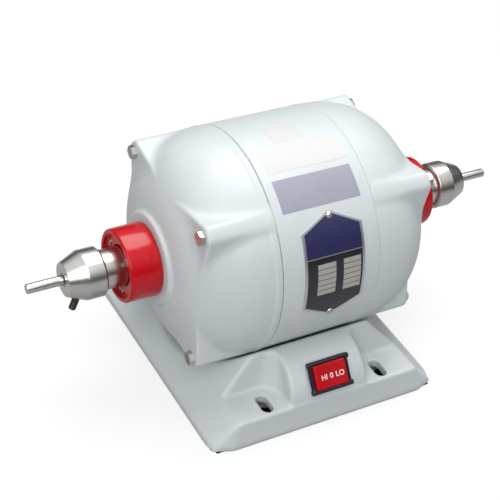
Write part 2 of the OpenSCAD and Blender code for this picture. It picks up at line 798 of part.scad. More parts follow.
module left_end_bell() {
    difference() {
        mirror([1, 0, 0]) end_bell();
        translate([grommet_x, 0, 0]) cylinder(h = axis_h - 40, r = grommet_r + drop_gap);
    }
}

module right_end_bell() {
    end_bell();
}

module through_bolts() {
    color(steel) around(bolt_angles, bolt_circle_r) {
        translate([0, 0, -boss_x]) cylinder(h = 2 * boss_x + bolt_head_h + 1.4, d = bolt_d);
        translate([0, 0, -boss_x - bolt_head_h]) difference() {
            cylinder(h = bolt_head_h + eps, d = bolt_head_d, $fn = 6);
            translate([-bolt_head_d, -0.5, -1]) cube([2 * bolt_head_d, 1, 2]);
        }
    }
}

module through_bolt_nuts() {
    color(steel) around(bolt_angles, bolt_circle_r) translate([0, 0, boss_x + seat_gap]) difference() {
        cylinder(h = bolt_head_h, d = bolt_head_d, $fn = 6);
        translate([0, 0, -1]) cylinder(h = bolt_head_h + 2, d = bolt_d + 2 * seat_gap);
    }
}

// ---------- name plate ----------

// Local frame on the shell at the plate's middle: X along the spindle, Y upwards round the shell, Z outwards
module at_plate(arc = 0) {
    translate([plate_x, 0, axis_h]) rotate([90 - plate_elev - arc / shell_r * 180 / PI, 0, 0])
        translate([0, 0, shell_r]) children();
}

module rivet_places() {
    for (s = [-1, 1]) at_plate(s * rivet_reach) children();
}

module name_plate() {
    tip = shell_r * sin(plate_len / 2 / shell_r * 180 / PI);
    side = shell_r * sin(plate_side / 2 / shell_r * 180 / PI);
    color(aluminium) difference() {
        intersection() {
            tube(-shell_half, shell_half, shell_r + plate_t, shell_r + seat_gap);
            at_plate() translate([0, 0, -shell_r / 2]) linear_extrude(shell_r) polygon([
                [0, tip], [plate_w / 2, side], [plate_w / 2, -side],
                [0, -tip], [-plate_w / 2, -side], [-plate_w / 2, side]
            ]);
        }
        rivet_places() translate([0, 0, -2]) cylinder(h = 6, r = rivet_shank_r + drop_gap);
    }
}

module name_plate_rivets() {
    // The head is a cap of a sphere
    cap_r = (pow(rivet_head_r, 2) + pow(rivet_head_h, 2)) / 2 / rivet_head_h;
    color(steel) rivet_places() {
        translate([0, 0, -shell_wall * 0.7]) cylinder(h = shell_wall * 0.7 + plate_t + 0.2, r = rivet_shank_r);
        intersection() {
            translate([0, 0, plate_t + 0.1 + rivet_head_h - cap_r]) sphere(cap_r);
            translate([0, 0, plate_t + 0.1]) cylinder(h = rivet_head_h, r = rivet_head_r);
        }
    }
}

// ---------- stator and rotor ----------

// A semi-closed slot seen along the spindle: a narrow mouth and a round-ended body
module slot_outline(clear) {
    r_in = core_bore_r + 3;
    w_in = 2 * PI * r_in / slot_count * 0.46 - 2 * clear;
    w_out = 2 * PI * slot_out_r / slot_count * 0.46 - 2 * clear;
    polygon([[r_in + clear, -w_in / 2], [slot_out_r - w_out / 2, -w_out / 2],
             [slot_out_r - w_out / 2, w_out / 2], [r_in + clear, w_in / 2]]);
    translate([slot_out_r - w_out / 2, 0]) circle(w_out / 2, $fn = 24);
}

module stator_core() {
    mouth = 2.4;
    color(laminate) difference() {
        tube(-core_w / 2, core_w / 2, core_r, core_bore_r);
        on_axis() linear_extrude(core_w + 2, center = true) for (i = [0:slot_count - 1]) rotate(i * 360 / slot_count) {
            slot_outline(0);
            translate([core_bore_r - 1, -mouth / 2]) square([5, mouth]);
        }
        around(bolt_angles, bolt_circle_r) {
            cylinder(h = core_w + 2, r = bolt_d / 2 + 0.8, center = true);
            translate([0, -bolt_d / 2 - 0.8, -core_w / 2 - 1]) cube([8, bolt_d + 1.6, core_w + 2]);
        }
    }
}

// Coils: straight sides in the slots, joined by a rounded bundle of end turns on each side
module stator_windings() {
    r0 = core_bore_r + 6;
    r1 = slot_out_r - 1;
    x0 = core_w / 2 + 3;
    x1 = winding_end_x;
    b = 4;
    color(copper) {
        on_axis() linear_extrude(2 * (x0 + 2), center = true)
            for (i = [0:slot_count - 1]) rotate(i * 360 / slot_count) slot_outline(0.25);
        left_right() turned([
            [r0, x0], [r1, x0], [r1 + b, x0 + b], [r1 + b, x1 - b], [r1 + b / 3, x1 - b / 3], [r1 - b, x1],
            [r0 + b / 2, x1], [r0 - b / 2, x1 - b / 2], [r0 - b / 2, x0 + b]
        ]);
    }
}

module rotor_core() {
    color(laminate) difference() {
        tube(-core_w / 2, core_w / 2, rotor_r, shaft_r + seat_gap);
        around([for (i = [0:bar_count - 1]) i * 360 / bar_count], cage_circle_r)
            cylinder(h = core_w + 2, r = cage_bar_r + seat_gap, center = true, $fn = 24);
    }
}

// Cast cage: bars through the core, an end ring on each side and short fan blades
module rotor_cage() {
    x0 = core_w / 2 + seat_gap;
    color(aluminium) {
        around([for (i = [0:bar_count - 1]) i * 360 / bar_count], cage_circle_r)
            cylinder(h = 2 * x0 + 1, r = cage_bar_r, center = true, $fn = 24);
        left_right() {
            tube(x0, x0 + cage_ring_w, rotor_r - 0.6, rotor_r - 12);
            around([for (i = [0:blade_count - 1]) i * 360 / blade_count], rotor_r - 9)
                translate([0, -1, x0 + cage_ring_w - eps]) cube([7, 2, blade_len]);
        }
    }
}

// One shaft, the same on both ends: core seat, bearing journals and release tapers
module spindle() {
    inner_face = bearing_x - bearing_w;
    neck_x = bearing_x + 2;
    right = [
        [shaft_r, inner_face - 8], [shaft_r + 1.5, inner_face - 8], [shaft_r + 1.5, inner_face],
        [journal_r, inner_face], [journal_r, neck_x], [journal_r - 0.6, neck_x + 0.6],
        [journal_r - 0.6, chuck_x - 4], [taper_r, chuck_x - 3], [taper_r, chuck_x],
        [taper_tip_r, taper_end_x - 1.5], [taper_tip_r - 0.8, taper_end_x - 0.7], [0, taper_end_x - 0.7]
    ];
    left = [for (i = [len(right) - 1:-1:0]) [right[i][0], -right[i][1]]];
    color(steel) turned(concat(left, right));
}

// ---------- bearings ----------

module race_groove() {
    translate([pitch_r, bearing_mid_x]) circle(ball_d / 2 + run_gap);
}

module outer_race() {
    color(steel) on_axis() rotate_extrude() difference() {
        translate([bearing_r - seat_gap - race_land, bearing_mid_x - bearing_w / 2])
            square([race_land, bearing_w]);
        race_groove();
    }
}

module inner_race() {
    color(steel) on_axis() rotate_extrude() difference() {
        translate([journal_r + seat_gap, bearing_mid_x - bearing_w / 2 + seat_gap])
            square([race_land, bearing_w - seat_gap]);
        race_groove();
    }
}

// The balls and the ribbon cage that spaces them
module bearing_balls() {
    places = [for (i = [0:ball_count - 1]) (i + 0.5) * 360 / ball_count];
    color(steel) {
        around(places, pitch_r) translate([0, 0, bearing_mid_x]) sphere(d = ball_d, $fn = 32);
        difference() {
            tube(bearing_mid_x - 2, bearing_mid_x + 2, pitch_r + 0.7, pitch_r - 0.7);
            around(places, pitch_r) translate([0, 0, bearing_mid_x]) sphere(r = ball_d / 2 + run_gap, $fn = 32);
        }
    }
}

module preload_washer() {
    color(dark_steel) tube(bearing_x + washer_gap, bearing_x + washer_gap + washer_t, bearing_r - 0.3, bearing_r - 3.2);
}

// ---------- release mechanism ----------

module release_knob() {
    r0 = knob_d / 2;
    r1 = (knob_d - knob_taper) / 2;
    edge = 1.4;
    rim = 1.6;
    color(red) difference() {
        turned(concat(
            [[ring_out_r + seat_gap, knob_back_x], [r0 - 0.5, knob_back_x], [r0, knob_back_x + 0.8]],
            [for (a = [0:15:75]) [r1 - edge * (1 - cos(a)), knob_front_x - edge * (1 - sin(a))]],
            [[r1 - edge, knob_front_x], [r1 - edge - rim, knob_front_x], [r1 - edge - rim - 0.6, knob_face_x]],
            [[neck_d / 2 + 1, knob_face_x], [neck_d / 2 + 0.6, knob_face_x - 0.4], [neck_d / 2 + 0.6, knob_wall_x],
             [ring_out_r + seat_gap, knob_wall_x]]
        ));
        knob_screw_places() translate([0, 0, knob_wall_x - 1]) cylinder(h = knob_len, d = knob_screw_d + 2 * seat_gap);
        knob_screw_places() translate([0, 0, knob_face_x - 1.2]) cylinder(h = knob_len, d = knob_screw_head_d + 0.4);
    }
}

module knob_screw_places() {
    around([for (i = [0:2]) knob_screw_angle + i * 120], knob_screw_circle_r) children();
}

module knob_screws() {
    head = 1.8;
    seat = knob_face_x - 1.2;
    color(steel) knob_screw_places() difference() {
        union() {
            translate([0, 0, knob_wall_x - knob_screw_bite])
                cylinder(h = seat - knob_wall_x + knob_screw_bite + 0.1, d = knob_screw_d - 2 * seat_gap);
            translate([0, 0, seat + seat_gap]) cylinder(h = head, d = knob_screw_head_d);
        }
        translate([0, 0, seat + head - 1]) cylinder(h = 2, d = knob_screw_d * 0.8, $fn = 6);
    }
}

// Stations along a cam slot, each [distance along it, half its width]: rounded ends and a straight middle
function cam_stations(n) = let (w = cam_slot_d / 2) concat(
    [for (t = [10:20:70]) [-w * cos(t), w * sin(t)]],
    [for (i = [0:n]) [cam_run * i / n, w]],
    [for (t = [70:-20:10]) [cam_run + w * cos(t), w * sin(t)]]
);

// A point of a cam slot, rolled round the ring: the slot runs back round the ring as it climbs
function cam_point(u, v, r) = let (a = (v * sin(cam_slope) - u * cos(cam_slope)) / ring_in_r * 180 / PI)
    [r * cos(a), r * sin(a), u * sin(cam_slope) + v * cos(cam_slope)];

// One helical slot as a solid between two radii
module cam_slot(r0, r1) {
    stations = cam_stations(14);
    last = len(stations) - 1;
    corners = [[-1, r0], [1, r0], [1, r1], [-1, r1]];
    polyhedron(
        points = [for (s = stations, c = corners) cam_point(s[0], c[0] * s[1], c[1])],
        faces = concat(
            [for (k = [0:last - 1], c = [0:3]) [4 * k + c, 4 * k + (c + 1) % 4, 4 * k + 4 + c]],
            [for (k = [0:last - 1], c = [0:3]) [4 * k + (c + 1) % 4, 4 * k + 4 + (c + 1) % 4, 4 * k + 4 + c]],
            [[3, 2, 1], [3, 1, 0], [4 * last, 4 * last + 1, 4 * last + 2], [4 * last, 4 * last + 2, 4 * last + 3]]
        )
    );
}

// Steel ring inside the knob with three helical slots; they drive the sleeve's cross pins along the spindle
module cam_ring() {
    color(brass) difference() {
        tube(ring_back_x, knob_wall_x - seat_gap, ring_out_r, ring_in_r);
        around(cross_pin_angles, 0) translate([0, 0, cross_pin_x]) cam_slot(ring_in_r - 1, ring_out_r + 1);
        knob_screw_places() translate([0, 0, knob_wall_x - knob_screw_bite - 1])
            cylinder(h = knob_len, d = knob_screw_d);
    }
}

module ejector_sleeve() {
    color(steel) difference() {
        turned([
            [sleeve_in_r, sleeve_back_x], [sleeve_r, sleeve_back_x], [sleeve_r, sleeve_end_x - 0.6],
            [sleeve_r - 0.6, sleeve_end_x], [sleeve_in_r, sleeve_end_x]
        ]);
        around(cross_pin_angles, 0) translate([0, 0, cross_pin_x]) rotate([0, 90, 0])
            cylinder(h = guide_r, d = cross_pin_d);
    }
}

module ejector_pins() {
    color(steel) around(cross_pin_angles, sleeve_in_r + 0.4) translate([0, 0, cross_pin_x]) rotate([0, 90, 0])
        cylinder(h = cross_pin_reach - sleeve_in_r - 0.4, d = cross_pin_d - 2 * seat_gap);
}

// ---------- chuck ----------

module chuck(turn) {
    pin_bore_r = shank_d / 2 + run_gap;
    neck = neck_d / 2;
    nose = nose_d / 2;
    face = nose_face_d / 2;
    color(steel) difference() {
        turned([
            [taper_r + run_gap, chuck_x], [neck - 0.5, chuck_x], [neck, chuck_x + 0.5],
            [neck, neck_end_x - 0.5], [nose - 1.6, neck_end_x - 0.5], [nose - 0.5, neck_end_x + 0.2], [nose, neck_end_x + 1.3],
            [nose, nose_shoulder_x], [face, nose_face_x - 0.3], [face - 0.4, nose_face_x],
            [mouth_r, nose_face_x], [mouth_r, nose_face_x - mouth_depth], [pin_bore_r, nose_face_x - mouth_depth - 1],
            [pin_bore_r, taper_end_x], [taper_tip_r + run_gap, taper_end_x]
        ]);
        at_clamp_screw(turn) translate([0, 0, -clamp_screw_in - 1])
            cylinder(h = clamp_screw_in + 8, d = clamp_screw_d + 2 * run_gap);
    }
}

// Pin whose shoulder stops at the nose's face; only its thinner shank goes into the chuck
module chuck_pin(pin_d) {
    r = pin_d / 2;
    shank = shank_d / 2;
    shoulder_x = nose_face_x + face_gap;
    color(steel) turned([
        [0, pin_back_x], [shank - 0.4, pin_back_x], [shank, pin_back_x + 0.4], [shank, shoulder_x],
        [r, shoulder_x], [r, pin_tip_x - 0.7], [r - 0.7, pin_tip_x], [0, pin_tip_x]
    ]);
}

// Local frame of the clamp screw: its Z axis points out of the cone
module at_clamp_screw(turn) {
    around([turn], clamp_screw_r) translate([0, 0, clamp_screw_x])
        rotate([0, 90 - clamp_screw_tilt, 0]) children();
}

module clamp_screw(turn) {
    r = clamp_screw_d / 2;
    inner = clamp_screw_in;
    color(dark_steel) at_clamp_screw(turn) rotate_extrude() polygon([
        [0, -inner], [clamp_tip_r, -inner], [r, r - clamp_tip_r - inner],
        [r, clamp_screw_out - 0.6], [r - 0.6, clamp_screw_out], [r * 0.55, clamp_screw_out],
        [r * 0.55, clamp_screw_out - 2], [0, clamp_screw_out - 2]
    ]);
}

module left() {
    mirror([1, 0, 0]) children();
}

// ---------- the parts ----------

base_casting();
bottom_cover();
cover_screws();
motor_screws();
lead_grommet();
cord_inlet_bush();
run_capacitor();
capacitor_clamp();
capacitor_clamp_rivets();
switch_housing();
switch_terminals();
switch_pivot_pin();
switch_rocker();
stator_shell();
left_end_bell();
right_end_bell();
through_bolts();
through_bolt_nuts();
name_plate();
name_plate_rivets();
stator_core();
stator_windings();
rotor_core();
rotor_cage();
spindle();
preload_washer();
left() outer_race();  // left_outer_race
left() inner_race();  // left_inner_race
left() bearing_balls();  // left_bearing_balls
outer_race();  // right_outer_race
inner_race();  // right_inner_race
bearing_balls();  // right_bearing_balls
left() release_knob();  // left_release_knob
left() knob_screws();  // left_knob_screws
left() cam_ring();  // left_cam_ring
left() ejector_sleeve();  // left_ejector_sleeve
left() ejector_pins();  // left_ejector_pins
left() chuck(left_clamp_turn);  // left_chuck
left() chuck_pin(left_pin_d);  // left_chuck_pin
left() clamp_screw(left_clamp_turn);  // left_clamp_screw
release_knob();  // right_release_knob
knob_screws();  // right_knob_screws
cam_ring();  // right_cam_ring
ejector_sleeve();  // right_ejector_sleeve
ejector_pins();  // right_ejector_pins
chuck(right_clamp_turn);  // right_chuck
chuck_pin(right_pin_d);  // right_chuck_pin
clamp_screw(right_clamp_turn);  // right_clamp_screw
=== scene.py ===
"""Dental polishing lathe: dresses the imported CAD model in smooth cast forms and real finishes.

All sizes are in millimetres and become metres where a mesh is made. The frame is the CAD model's:
the origin is the centre of the base's underside, +X runs along the spindle, -Y faces the user.
"""

from __future__ import annotations

import json
import logging
import math
from dataclasses import dataclass
from enum import Enum
from typing import Callable

import bmesh
import bpy
import numpy as np
from mathutils import Matrix, Vector

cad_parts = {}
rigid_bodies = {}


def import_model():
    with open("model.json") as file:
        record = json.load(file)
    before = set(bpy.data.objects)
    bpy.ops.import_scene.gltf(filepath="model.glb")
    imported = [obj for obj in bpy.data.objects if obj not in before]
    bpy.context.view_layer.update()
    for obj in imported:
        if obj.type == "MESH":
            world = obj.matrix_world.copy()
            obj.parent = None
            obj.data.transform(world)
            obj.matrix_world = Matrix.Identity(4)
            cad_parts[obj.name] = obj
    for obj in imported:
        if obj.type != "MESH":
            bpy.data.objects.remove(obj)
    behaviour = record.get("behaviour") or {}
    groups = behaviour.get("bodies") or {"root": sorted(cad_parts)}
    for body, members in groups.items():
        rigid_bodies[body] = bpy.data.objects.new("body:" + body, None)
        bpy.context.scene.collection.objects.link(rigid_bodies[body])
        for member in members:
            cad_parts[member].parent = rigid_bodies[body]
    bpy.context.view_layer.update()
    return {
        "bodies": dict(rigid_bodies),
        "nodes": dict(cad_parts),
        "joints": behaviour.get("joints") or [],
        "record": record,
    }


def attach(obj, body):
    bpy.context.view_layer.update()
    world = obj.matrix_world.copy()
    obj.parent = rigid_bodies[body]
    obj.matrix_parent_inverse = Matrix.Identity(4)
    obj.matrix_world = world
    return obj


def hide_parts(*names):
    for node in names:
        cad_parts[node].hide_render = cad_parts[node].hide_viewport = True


LOG = logging.getLogger("polishing_lathe")
MM = 0.001
# Height of the spindle above the bench
AXIS_H = 91.8
# Length and height of a surface's broad waves, as multiples of its fine ones
BROAD_LENGTH, BROAD_HEIGHT = 15.0, 14.0
# How far the roughness wanders to either side
ROUGH_SPREAD = 0.05
# Roughness of a clear layer
COAT_ROUGHNESS = 0.06
# No edge is sharper than this, so all of them are smooth
ALL_SMOOTH_DEG = 180.0
# Points nearer than this are one, and edges shorter than the second are none, in metres
MERGE_DIST, NO_EDGE = 2e-6, 1e-7

Array = np.ndarray
Field = Callable[[Array, Array, Array], Array]


class Side(Enum):
    """The two ends of the spindle, as the sign of X."""

    LEFT = -1
    RIGHT = 1

    @property
    def word(self) -> str:
        """The side's name, as the CAD nodes and bodies spell it."""
        return self.name.lower()


# ---------------------------------------------------------------- finishes


class Grain(Enum):
    """How the surface of a material was made, which decides its fine relief."""

    CAST = "enamel over a sand casting: long soft waves under a fine orange peel"
    MOULDED = "moulded plastic: a faint even texture"
    TURNED = "turned on a lathe: fine rings round the spindle"
    DRAWN = "drawn, rolled or plated metal: a fine even mottle"
    PRINTED = "printed film or anodised sheet: nearly flat"
    LAMINATED = "stacked sheets: fine lines square to the spindle"


def linear(hex_colour: str) -> tuple[float, float, float, float]:
    """Turns an sRGB hex colour into the linear colour that the shader takes.

    Args:
        hex_colour: six hex digits after a '#'.

    Returns:
        Linear red, green, blue and an alpha of 1.
    """
    parts = np.array([int(hex_colour[i:i + 2], 16) for i in (1, 3, 5)]) / 255.0
    lin = np.where(parts <= 0.04045, parts / 12.92, ((parts + 0.055) / 1.055) ** 2.4)
    return (float(lin[0]), float(lin[1]), float(lin[2]), 1.0)


def add_node(tree: bpy.types.NodeTree, kind: str, settings: dict | None = None,
             links: dict | None = None) -> bpy.types.Node:
    """Adds a shader node with its settings and its incoming links.

    Args:
        tree: the node tree that takes the node.
        kind: the node's type name.
        settings: attribute names, or input names and numbers, with their values.
        links: input names or numbers with the output socket that feeds each.

    Returns:
        The new node.
    """
    node = tree.nodes.new(kind)
    for key, value in (settings or {}).items():
        if isinstance(key, int) or key in node.inputs:
            node.inputs[key].default_value = value
        else:
            setattr(node, key, value)
    for key, socket in (links or {}).items():
        tree.links.new(socket, node.inputs[key])
    return node


def mixed(tree: bpy.types.NodeTree, share: bpy.types.NodeSocket,
          *colours: tuple | bpy.types.NodeSocket) -> bpy.types.NodeSocket:
    """Mixes two colours by a share of the second.

    Args:
        tree: the node tree that takes the node.
        share: the socket that gives the share.
        colours: the two colours, each linear and with alpha, or a socket that gives it.

    Returns:
        The socket with the mixed colour.
    """
    node = add_node(tree, "ShaderNodeMix", {"data_type": "RGBA"}, {0: share})
    # Among the node's sockets of all types, 6 and 7 take the two colours and 2 gives the result
    for number, colour in zip((6, 7), colours):
        if isinstance(colour, bpy.types.NodeSocket):
            tree.links.new(colour, node.inputs[number])
        else:
            node.inputs[number].default_value = colour
    return node.outputs[2]


def empty_tree(owner: bpy.types.Material | bpy.types.World) -> bpy.types.NodeTree:
    """Gives a new material or world an empty node tree."""
    owner.use_nodes = True
    owner.node_tree.nodes.clear()
    return owner.node_tree


def put_in_scene(name: str, data: bpy.types.ID) -> bpy.types.Object:
    """Makes an object of some data and links it to the scene."""
    made = bpy.data.objects.new(name, data)
    bpy.context.scene.collection.objects.link(made)
    return made


@dataclass(frozen=True)
class Finish:
    """A real material and the way its surface was made.

    Attributes:
        name: the material's common name and process.
        colour: its main colour, sRGB hex.
        tint: the colour that it drifts to in patches, sRGB hex.
        roughness: how matt it is.
        metallic: 1 for bare metal.
        coat: strength of a clear layer on top.
        grain: how the surface was made.
        grain_mm: spacing of the fine relief.
        depth_mm: height of the fine relief.
        ior: index of refraction of a non-metal.
    """

    name: str
    colour: str
    tint: str
    roughness: float
    metallic: float = 0.0
    coat: float = 0.0
    grain: Grain = Grain.MOULDED
    grain_mm: float = 1.0
    depth_mm: float = 0.01
    ior: float = 1.5

    def _pattern_place(self, tree: bpy.types.NodeTree) -> bpy.types.NodeSocket:
        """Gives the coordinates of the relief, in metres.

        For turned metal they are the distance along the spindle and the distance from it, so that
        the pattern makes rings. For stacked sheets only the distance along the spindle counts.
        """
        place = add_node(tree, "ShaderNodeTexCoord").outputs["Object"]
        if self.grain is Grain.LAMINATED:
            return add_node(tree, "ShaderNodeVectorMath", {"operation": "MULTIPLY", 1: (1.0, 0.02, 0.02)},
                            {0: place}).outputs[0]
        if self.grain is not Grain.TURNED:
            return place
        centred = add_node(tree, "ShaderNodeMapping", {"Location": (0.0, 0.0, -AXIS_H * MM)},
                           {"Vector": place})
        split = add_node(tree, "ShaderNodeSeparateXYZ", links={0: centred.outputs[0]})
        across = add_node(tree, "ShaderNodeCombineXYZ", links={1: split.outputs[1], 2: split.outputs[2]})
        radius = add_node(tree, "ShaderNodeVectorMath", {"operation": "LENGTH"}, {0: across.outputs[0]})
        return add_node(tree, "ShaderNodeCombineXYZ",
                        links={0: split.outputs[0], 1: radius.outputs["Value"]}).outputs[0]

    def build(self) -> bpy.types.Material:
        """Makes the procedural material, once for each name."""
        if self.name in bpy.data.materials:
            return bpy.data.materials[self.name]
        material = bpy.data.materials.new(self.name)
        tree = empty_tree(material)
        place = self._pattern_place(tree)
        # The relief has one wave to each grain_mm; the broad waves are longer and, in a casting, higher
        fine = add_node(tree, "ShaderNodeTexNoise",
                        {"Scale": 1.0 / (self.grain_mm * MM), "Detail": 2.0, "Roughness": 0.5},
                        {"Vector": place})
        broad = add_node(tree, "ShaderNodeTexNoise",
                         {"Scale": 1.0 / (BROAD_LENGTH * self.grain_mm * MM), "Detail": 1.0},
                         {"Vector": place})
        bump = add_node(tree, "ShaderNodeBump", {"Strength": 1.0, "Distance": self.depth_mm * MM},
                        {"Height": fine.outputs[0]})
        if self.grain is Grain.CAST:
            # Enamel flows over the casting's long waves, so the gloss breaks up softly
            bump = add_node(tree, "ShaderNodeBump",
                            {"Strength": 1.0, "Distance": BROAD_HEIGHT * self.depth_mm * MM},
                            {"Height": broad.outputs[0], "Normal": bump.outputs[0]})
        colour = mixed(tree, broad.outputs[0], linear(self.colour), linear(self.tint))
        rough = add_node(tree, "ShaderNodeMapRange",
                         {"To Min": self.roughness - ROUGH_SPREAD, "To Max": self.roughness + ROUGH_SPREAD},
                         {0: fine.outputs[0]})
        shader = add_node(tree, "ShaderNodeBsdfPrincipled",
                          {"Metallic": self.metallic, "Coat Weight": self.coat,
                           "Coat Roughness": COAT_ROUGHNESS},
                          {"Base Color": colour, "Roughness": rough.outputs[0],
                           "Normal": bump.outputs[0]})
        if self.metallic == 0.0:
            shader.inputs["IOR"].default_value = self.ior
        add_node(tree, "ShaderNodeOutputMaterial", links={"Surface": shader.outputs[0]})
        return material


# Sprayed satin enamel over cast iron: pale grey, with soft broken highlights
ENAMEL = Finish("sprayed_enamel_on_cast_iron", "#cbd0d0", "#c5caca", 0.44, coat=0.08, grain=Grain.CAST,
                grain_mm=1.1, depth_mm=0.006)
# Injection moulded plastic in signal red: deep colour under a mirror-like skin
RED_PLASTIC = Finish("moulded_red_plastic", "#bf0a18", "#b70816", 0.16, ior=1.42, grain_mm=1.6,
                     depth_mm=0.002)
# Moulded black nylon: satin, with soft grey edges where the light catches
BLACK_PLASTIC = Finish("moulded_black_nylon", "#0f0e15", "#14131c", 0.30, grain_mm=0.5, depth_mm=0.004)
# White ink printed on the paddle
WHITE_INK = Finish("pad_printed_white_ink", "#f4f2ee", "#ebe9e4", 0.45, grain=Grain.PRINTED, grain_mm=0.6,
                   depth_mm=0.001)
# Stainless steel turned and polished: bright, with fine rings round the spindle
POLISHED_STEEL = Finish("turned_and_polished_stainless_steel", "#d8d5d0", "#cbc8c3", 0.25, 1.0,
                        grain=Grain.TURNED, grain_mm=0.35, depth_mm=0.0015)
# Ground bearing steel: grey and even
GROUND_STEEL = Finish("ground_bearing_steel", "#b9b9ba", "#aeaeb0", 0.28, 1.0, grain=Grain.TURNED,
                      grain_mm=0.3, depth_mm=0.001)
# Zinc plated steel: bright and slightly mottled
ZINC_STEEL = Finish("zinc_plated_steel", "#cfcdc8", "#bfbdb9", 0.30, 1.0, grain=Grain.DRAWN, grain_mm=0.8,
                    depth_mm=0.003)
# Black oxide steel: dark, with a dull metal sheen
BLACK_STEEL = Finish("black_oxide_steel", "#6b625c", "#564e4a", 0.34, 1.0, grain=Grain.DRAWN, grain_mm=0.5,
                     depth_mm=0.003)
# Primed sheet steel: flat dark grey
SHEET_STEEL = Finish("primed_sheet_steel", "#4a4c4e", "#434547", 0.55, grain=Grain.DRAWN, grain_mm=0.8,
                     depth_mm=0.004)
# Black rubber: matt, with a powdery skin
RUBBER = Finish("moulded_black_rubber", "#1b1b1c", "#232324", 0.72, grain_mm=0.4, depth_mm=0.006)
# Drawn brass: warm and bright
BRASS = Finish("drawn_brass", "#c2a35c", "#b39450", 0.30, 1.0, grain=Grain.DRAWN, grain_mm=0.6,
               depth_mm=0.002)
# Anodised aluminium sheet: silvery, finely brushed
ALUMINIUM_SHEET = Finish("anodised_aluminium_sheet", "#d3d5d8", "#c6c8cc", 0.34, 0.9, grain=Grain.PRINTED,
                         grain_mm=0.5, depth_mm=0.001)
# Die-cast aluminium: grey, with a fine grain
CAST_ALUMINIUM = Finish("die_cast_aluminium", "#b4b7ba", "#a5a8ab", 0.48, 0.9, grain=Grain.DRAWN,
                        grain_mm=0.9, depth_mm=0.006)
# Electrical steel sheets pressed into a stack: thin dark lines round the core
LAMINATIONS = Finish("stacked_electrical_steel", "#7b7d80", "#5d5f62", 0.45, 0.9, grain=Grain.LAMINATED,
                     grain_mm=0.5, depth_mm=0.02)
# Varnished copper wire: dark amber with a wet gloss
COPPER = Finish("varnished_copper_wire", "#a4562a", "#8c4420", 0.30, 0.6, coat=0.6, grain=Grain.DRAWN,
                grain_mm=0.9, depth_mm=0.06)
# Polypropylene case: off-white and slightly waxy
CAPACITOR_CASE = Finish("moulded_polypropylene", "#d8d5ca", "#d0cdc2", 0.42, grain_mm=0.7, depth_mm=0.004)
# Navy ink on the name plate
NAVY_INK = Finish("screen_printed_navy_ink", "#2b2a55", "#262550", 0.30, coat=0.3, grain=Grain.PRINTED,
                  grain_mm=0.7, depth_mm=0.001)
# Black ink on the name plate
BLACK_INK = Finish("screen_printed_black_ink", "#17141a", "#1d1a21", 0.30, coat=0.3, grain=Grain.PRINTED,
                   grain_mm=0.7, depth_mm=0.001)
# Blank silver fields of the name plate
SILVER_FIELD = Finish("satin_silver_field", "#b9b6b0", "#aeaba5", 0.42, 0.3, grain=Grain.PRINTED,
                      grain_mm=0.5, depth_mm=0.001)
# Blank white paper label
WHITE_LABEL = Finish("coated_white_label_paper", "#cdccca", "#c7c6c4", 0.45, grain=Grain.PRINTED,
                     grain_mm=1.2, depth_mm=0.001)
# Blank silvery polyester label
GREY_LABEL = Finish("matt_silver_polyester_label", "#9a9aa8", "#9293a1", 0.45, grain=Grain.PRINTED,
                    grain_mm=1.0, depth_mm=0.001)


# ---------------------------------------------------------------- meshes


def put_mesh(name: str, points: Array, faces: Array, finish: Finish, body: str,
             merge: bool = False, crease_deg: float = ALL_SMOOTH_DEG) -> bpy.types.Object:
    """Makes a finished piece out of points in millimetres and faces.

    Args:
        name: the piece's name.
        points: one row a point, in millimetres.
        faces: one row a face, of three or four point numbers.
        finish: the material.
        body: the CAD body that carries the piece.
        merge: True joins points that coincide, which closes poles and seams, and turns the faces outwards.
        crease_deg: edges sharper than this stay sharp.

    Returns:
        The piece's object, at the origin.
    """
    mesh = bpy.data.meshes.new(name)
    mesh.from_pydata((points * MM).tolist(), [], faces.tolist())
    if merge:
        form = bmesh.new()
        form.from_mesh(mesh)
        bmesh.ops.remove_doubles(form, verts=form.verts, dist=MERGE_DIST)
        bmesh.ops.dissolve_degenerate(form, edges=form.edges, dist=NO_EDGE)
        bmesh.ops.recalc_face_normals(form, faces=form.faces)
        form.to_mesh(mesh)
        form.free()
    mesh.validate()
    mesh.polygons.foreach_set("use_smooth", np.ones(len(mesh.polygons), bool))
    if crease_deg < ALL_SMOOTH_DEG:
        mesh.set_sharp_from_angle(angle=math.radians(crease_deg))
    mesh.update()
    piece = put_in_scene(name, mesh)
    mesh.materials.append(finish.build())
    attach(piece, body)
    LOG.info("%s: %d points, %d faces, on %s", name, len(mesh.vertices), len(mesh.polygons), body)
    return piece


def grid_faces(rows: int, columns: int, wrap_rows: bool, wrap_columns: bool) -> Array:
    """Numbers the quads of a grid of points.

    Args:
        rows: points along the first parameter.
        columns: points along the second parameter.
        wrap_rows: True joins the last row to the first.
        wrap_columns: True joins the last column to the first.

    Returns:
        One row a quad, of four point numbers.
    """
    i = np.arange(rows if wrap_rows else rows - 1)[:, None]
    j = np.arange(columns if wrap_columns else columns - 1)[None, :]
    i2, j2 = (i + 1) % rows, (j + 1) % columns
    corners = [i * columns + j, i2 * columns + j, i2 * columns + j2, i * columns + j2]
    return np.stack([np.broadcast_to(c, (i.size, j.size)).ravel() for c in corners], axis=1)


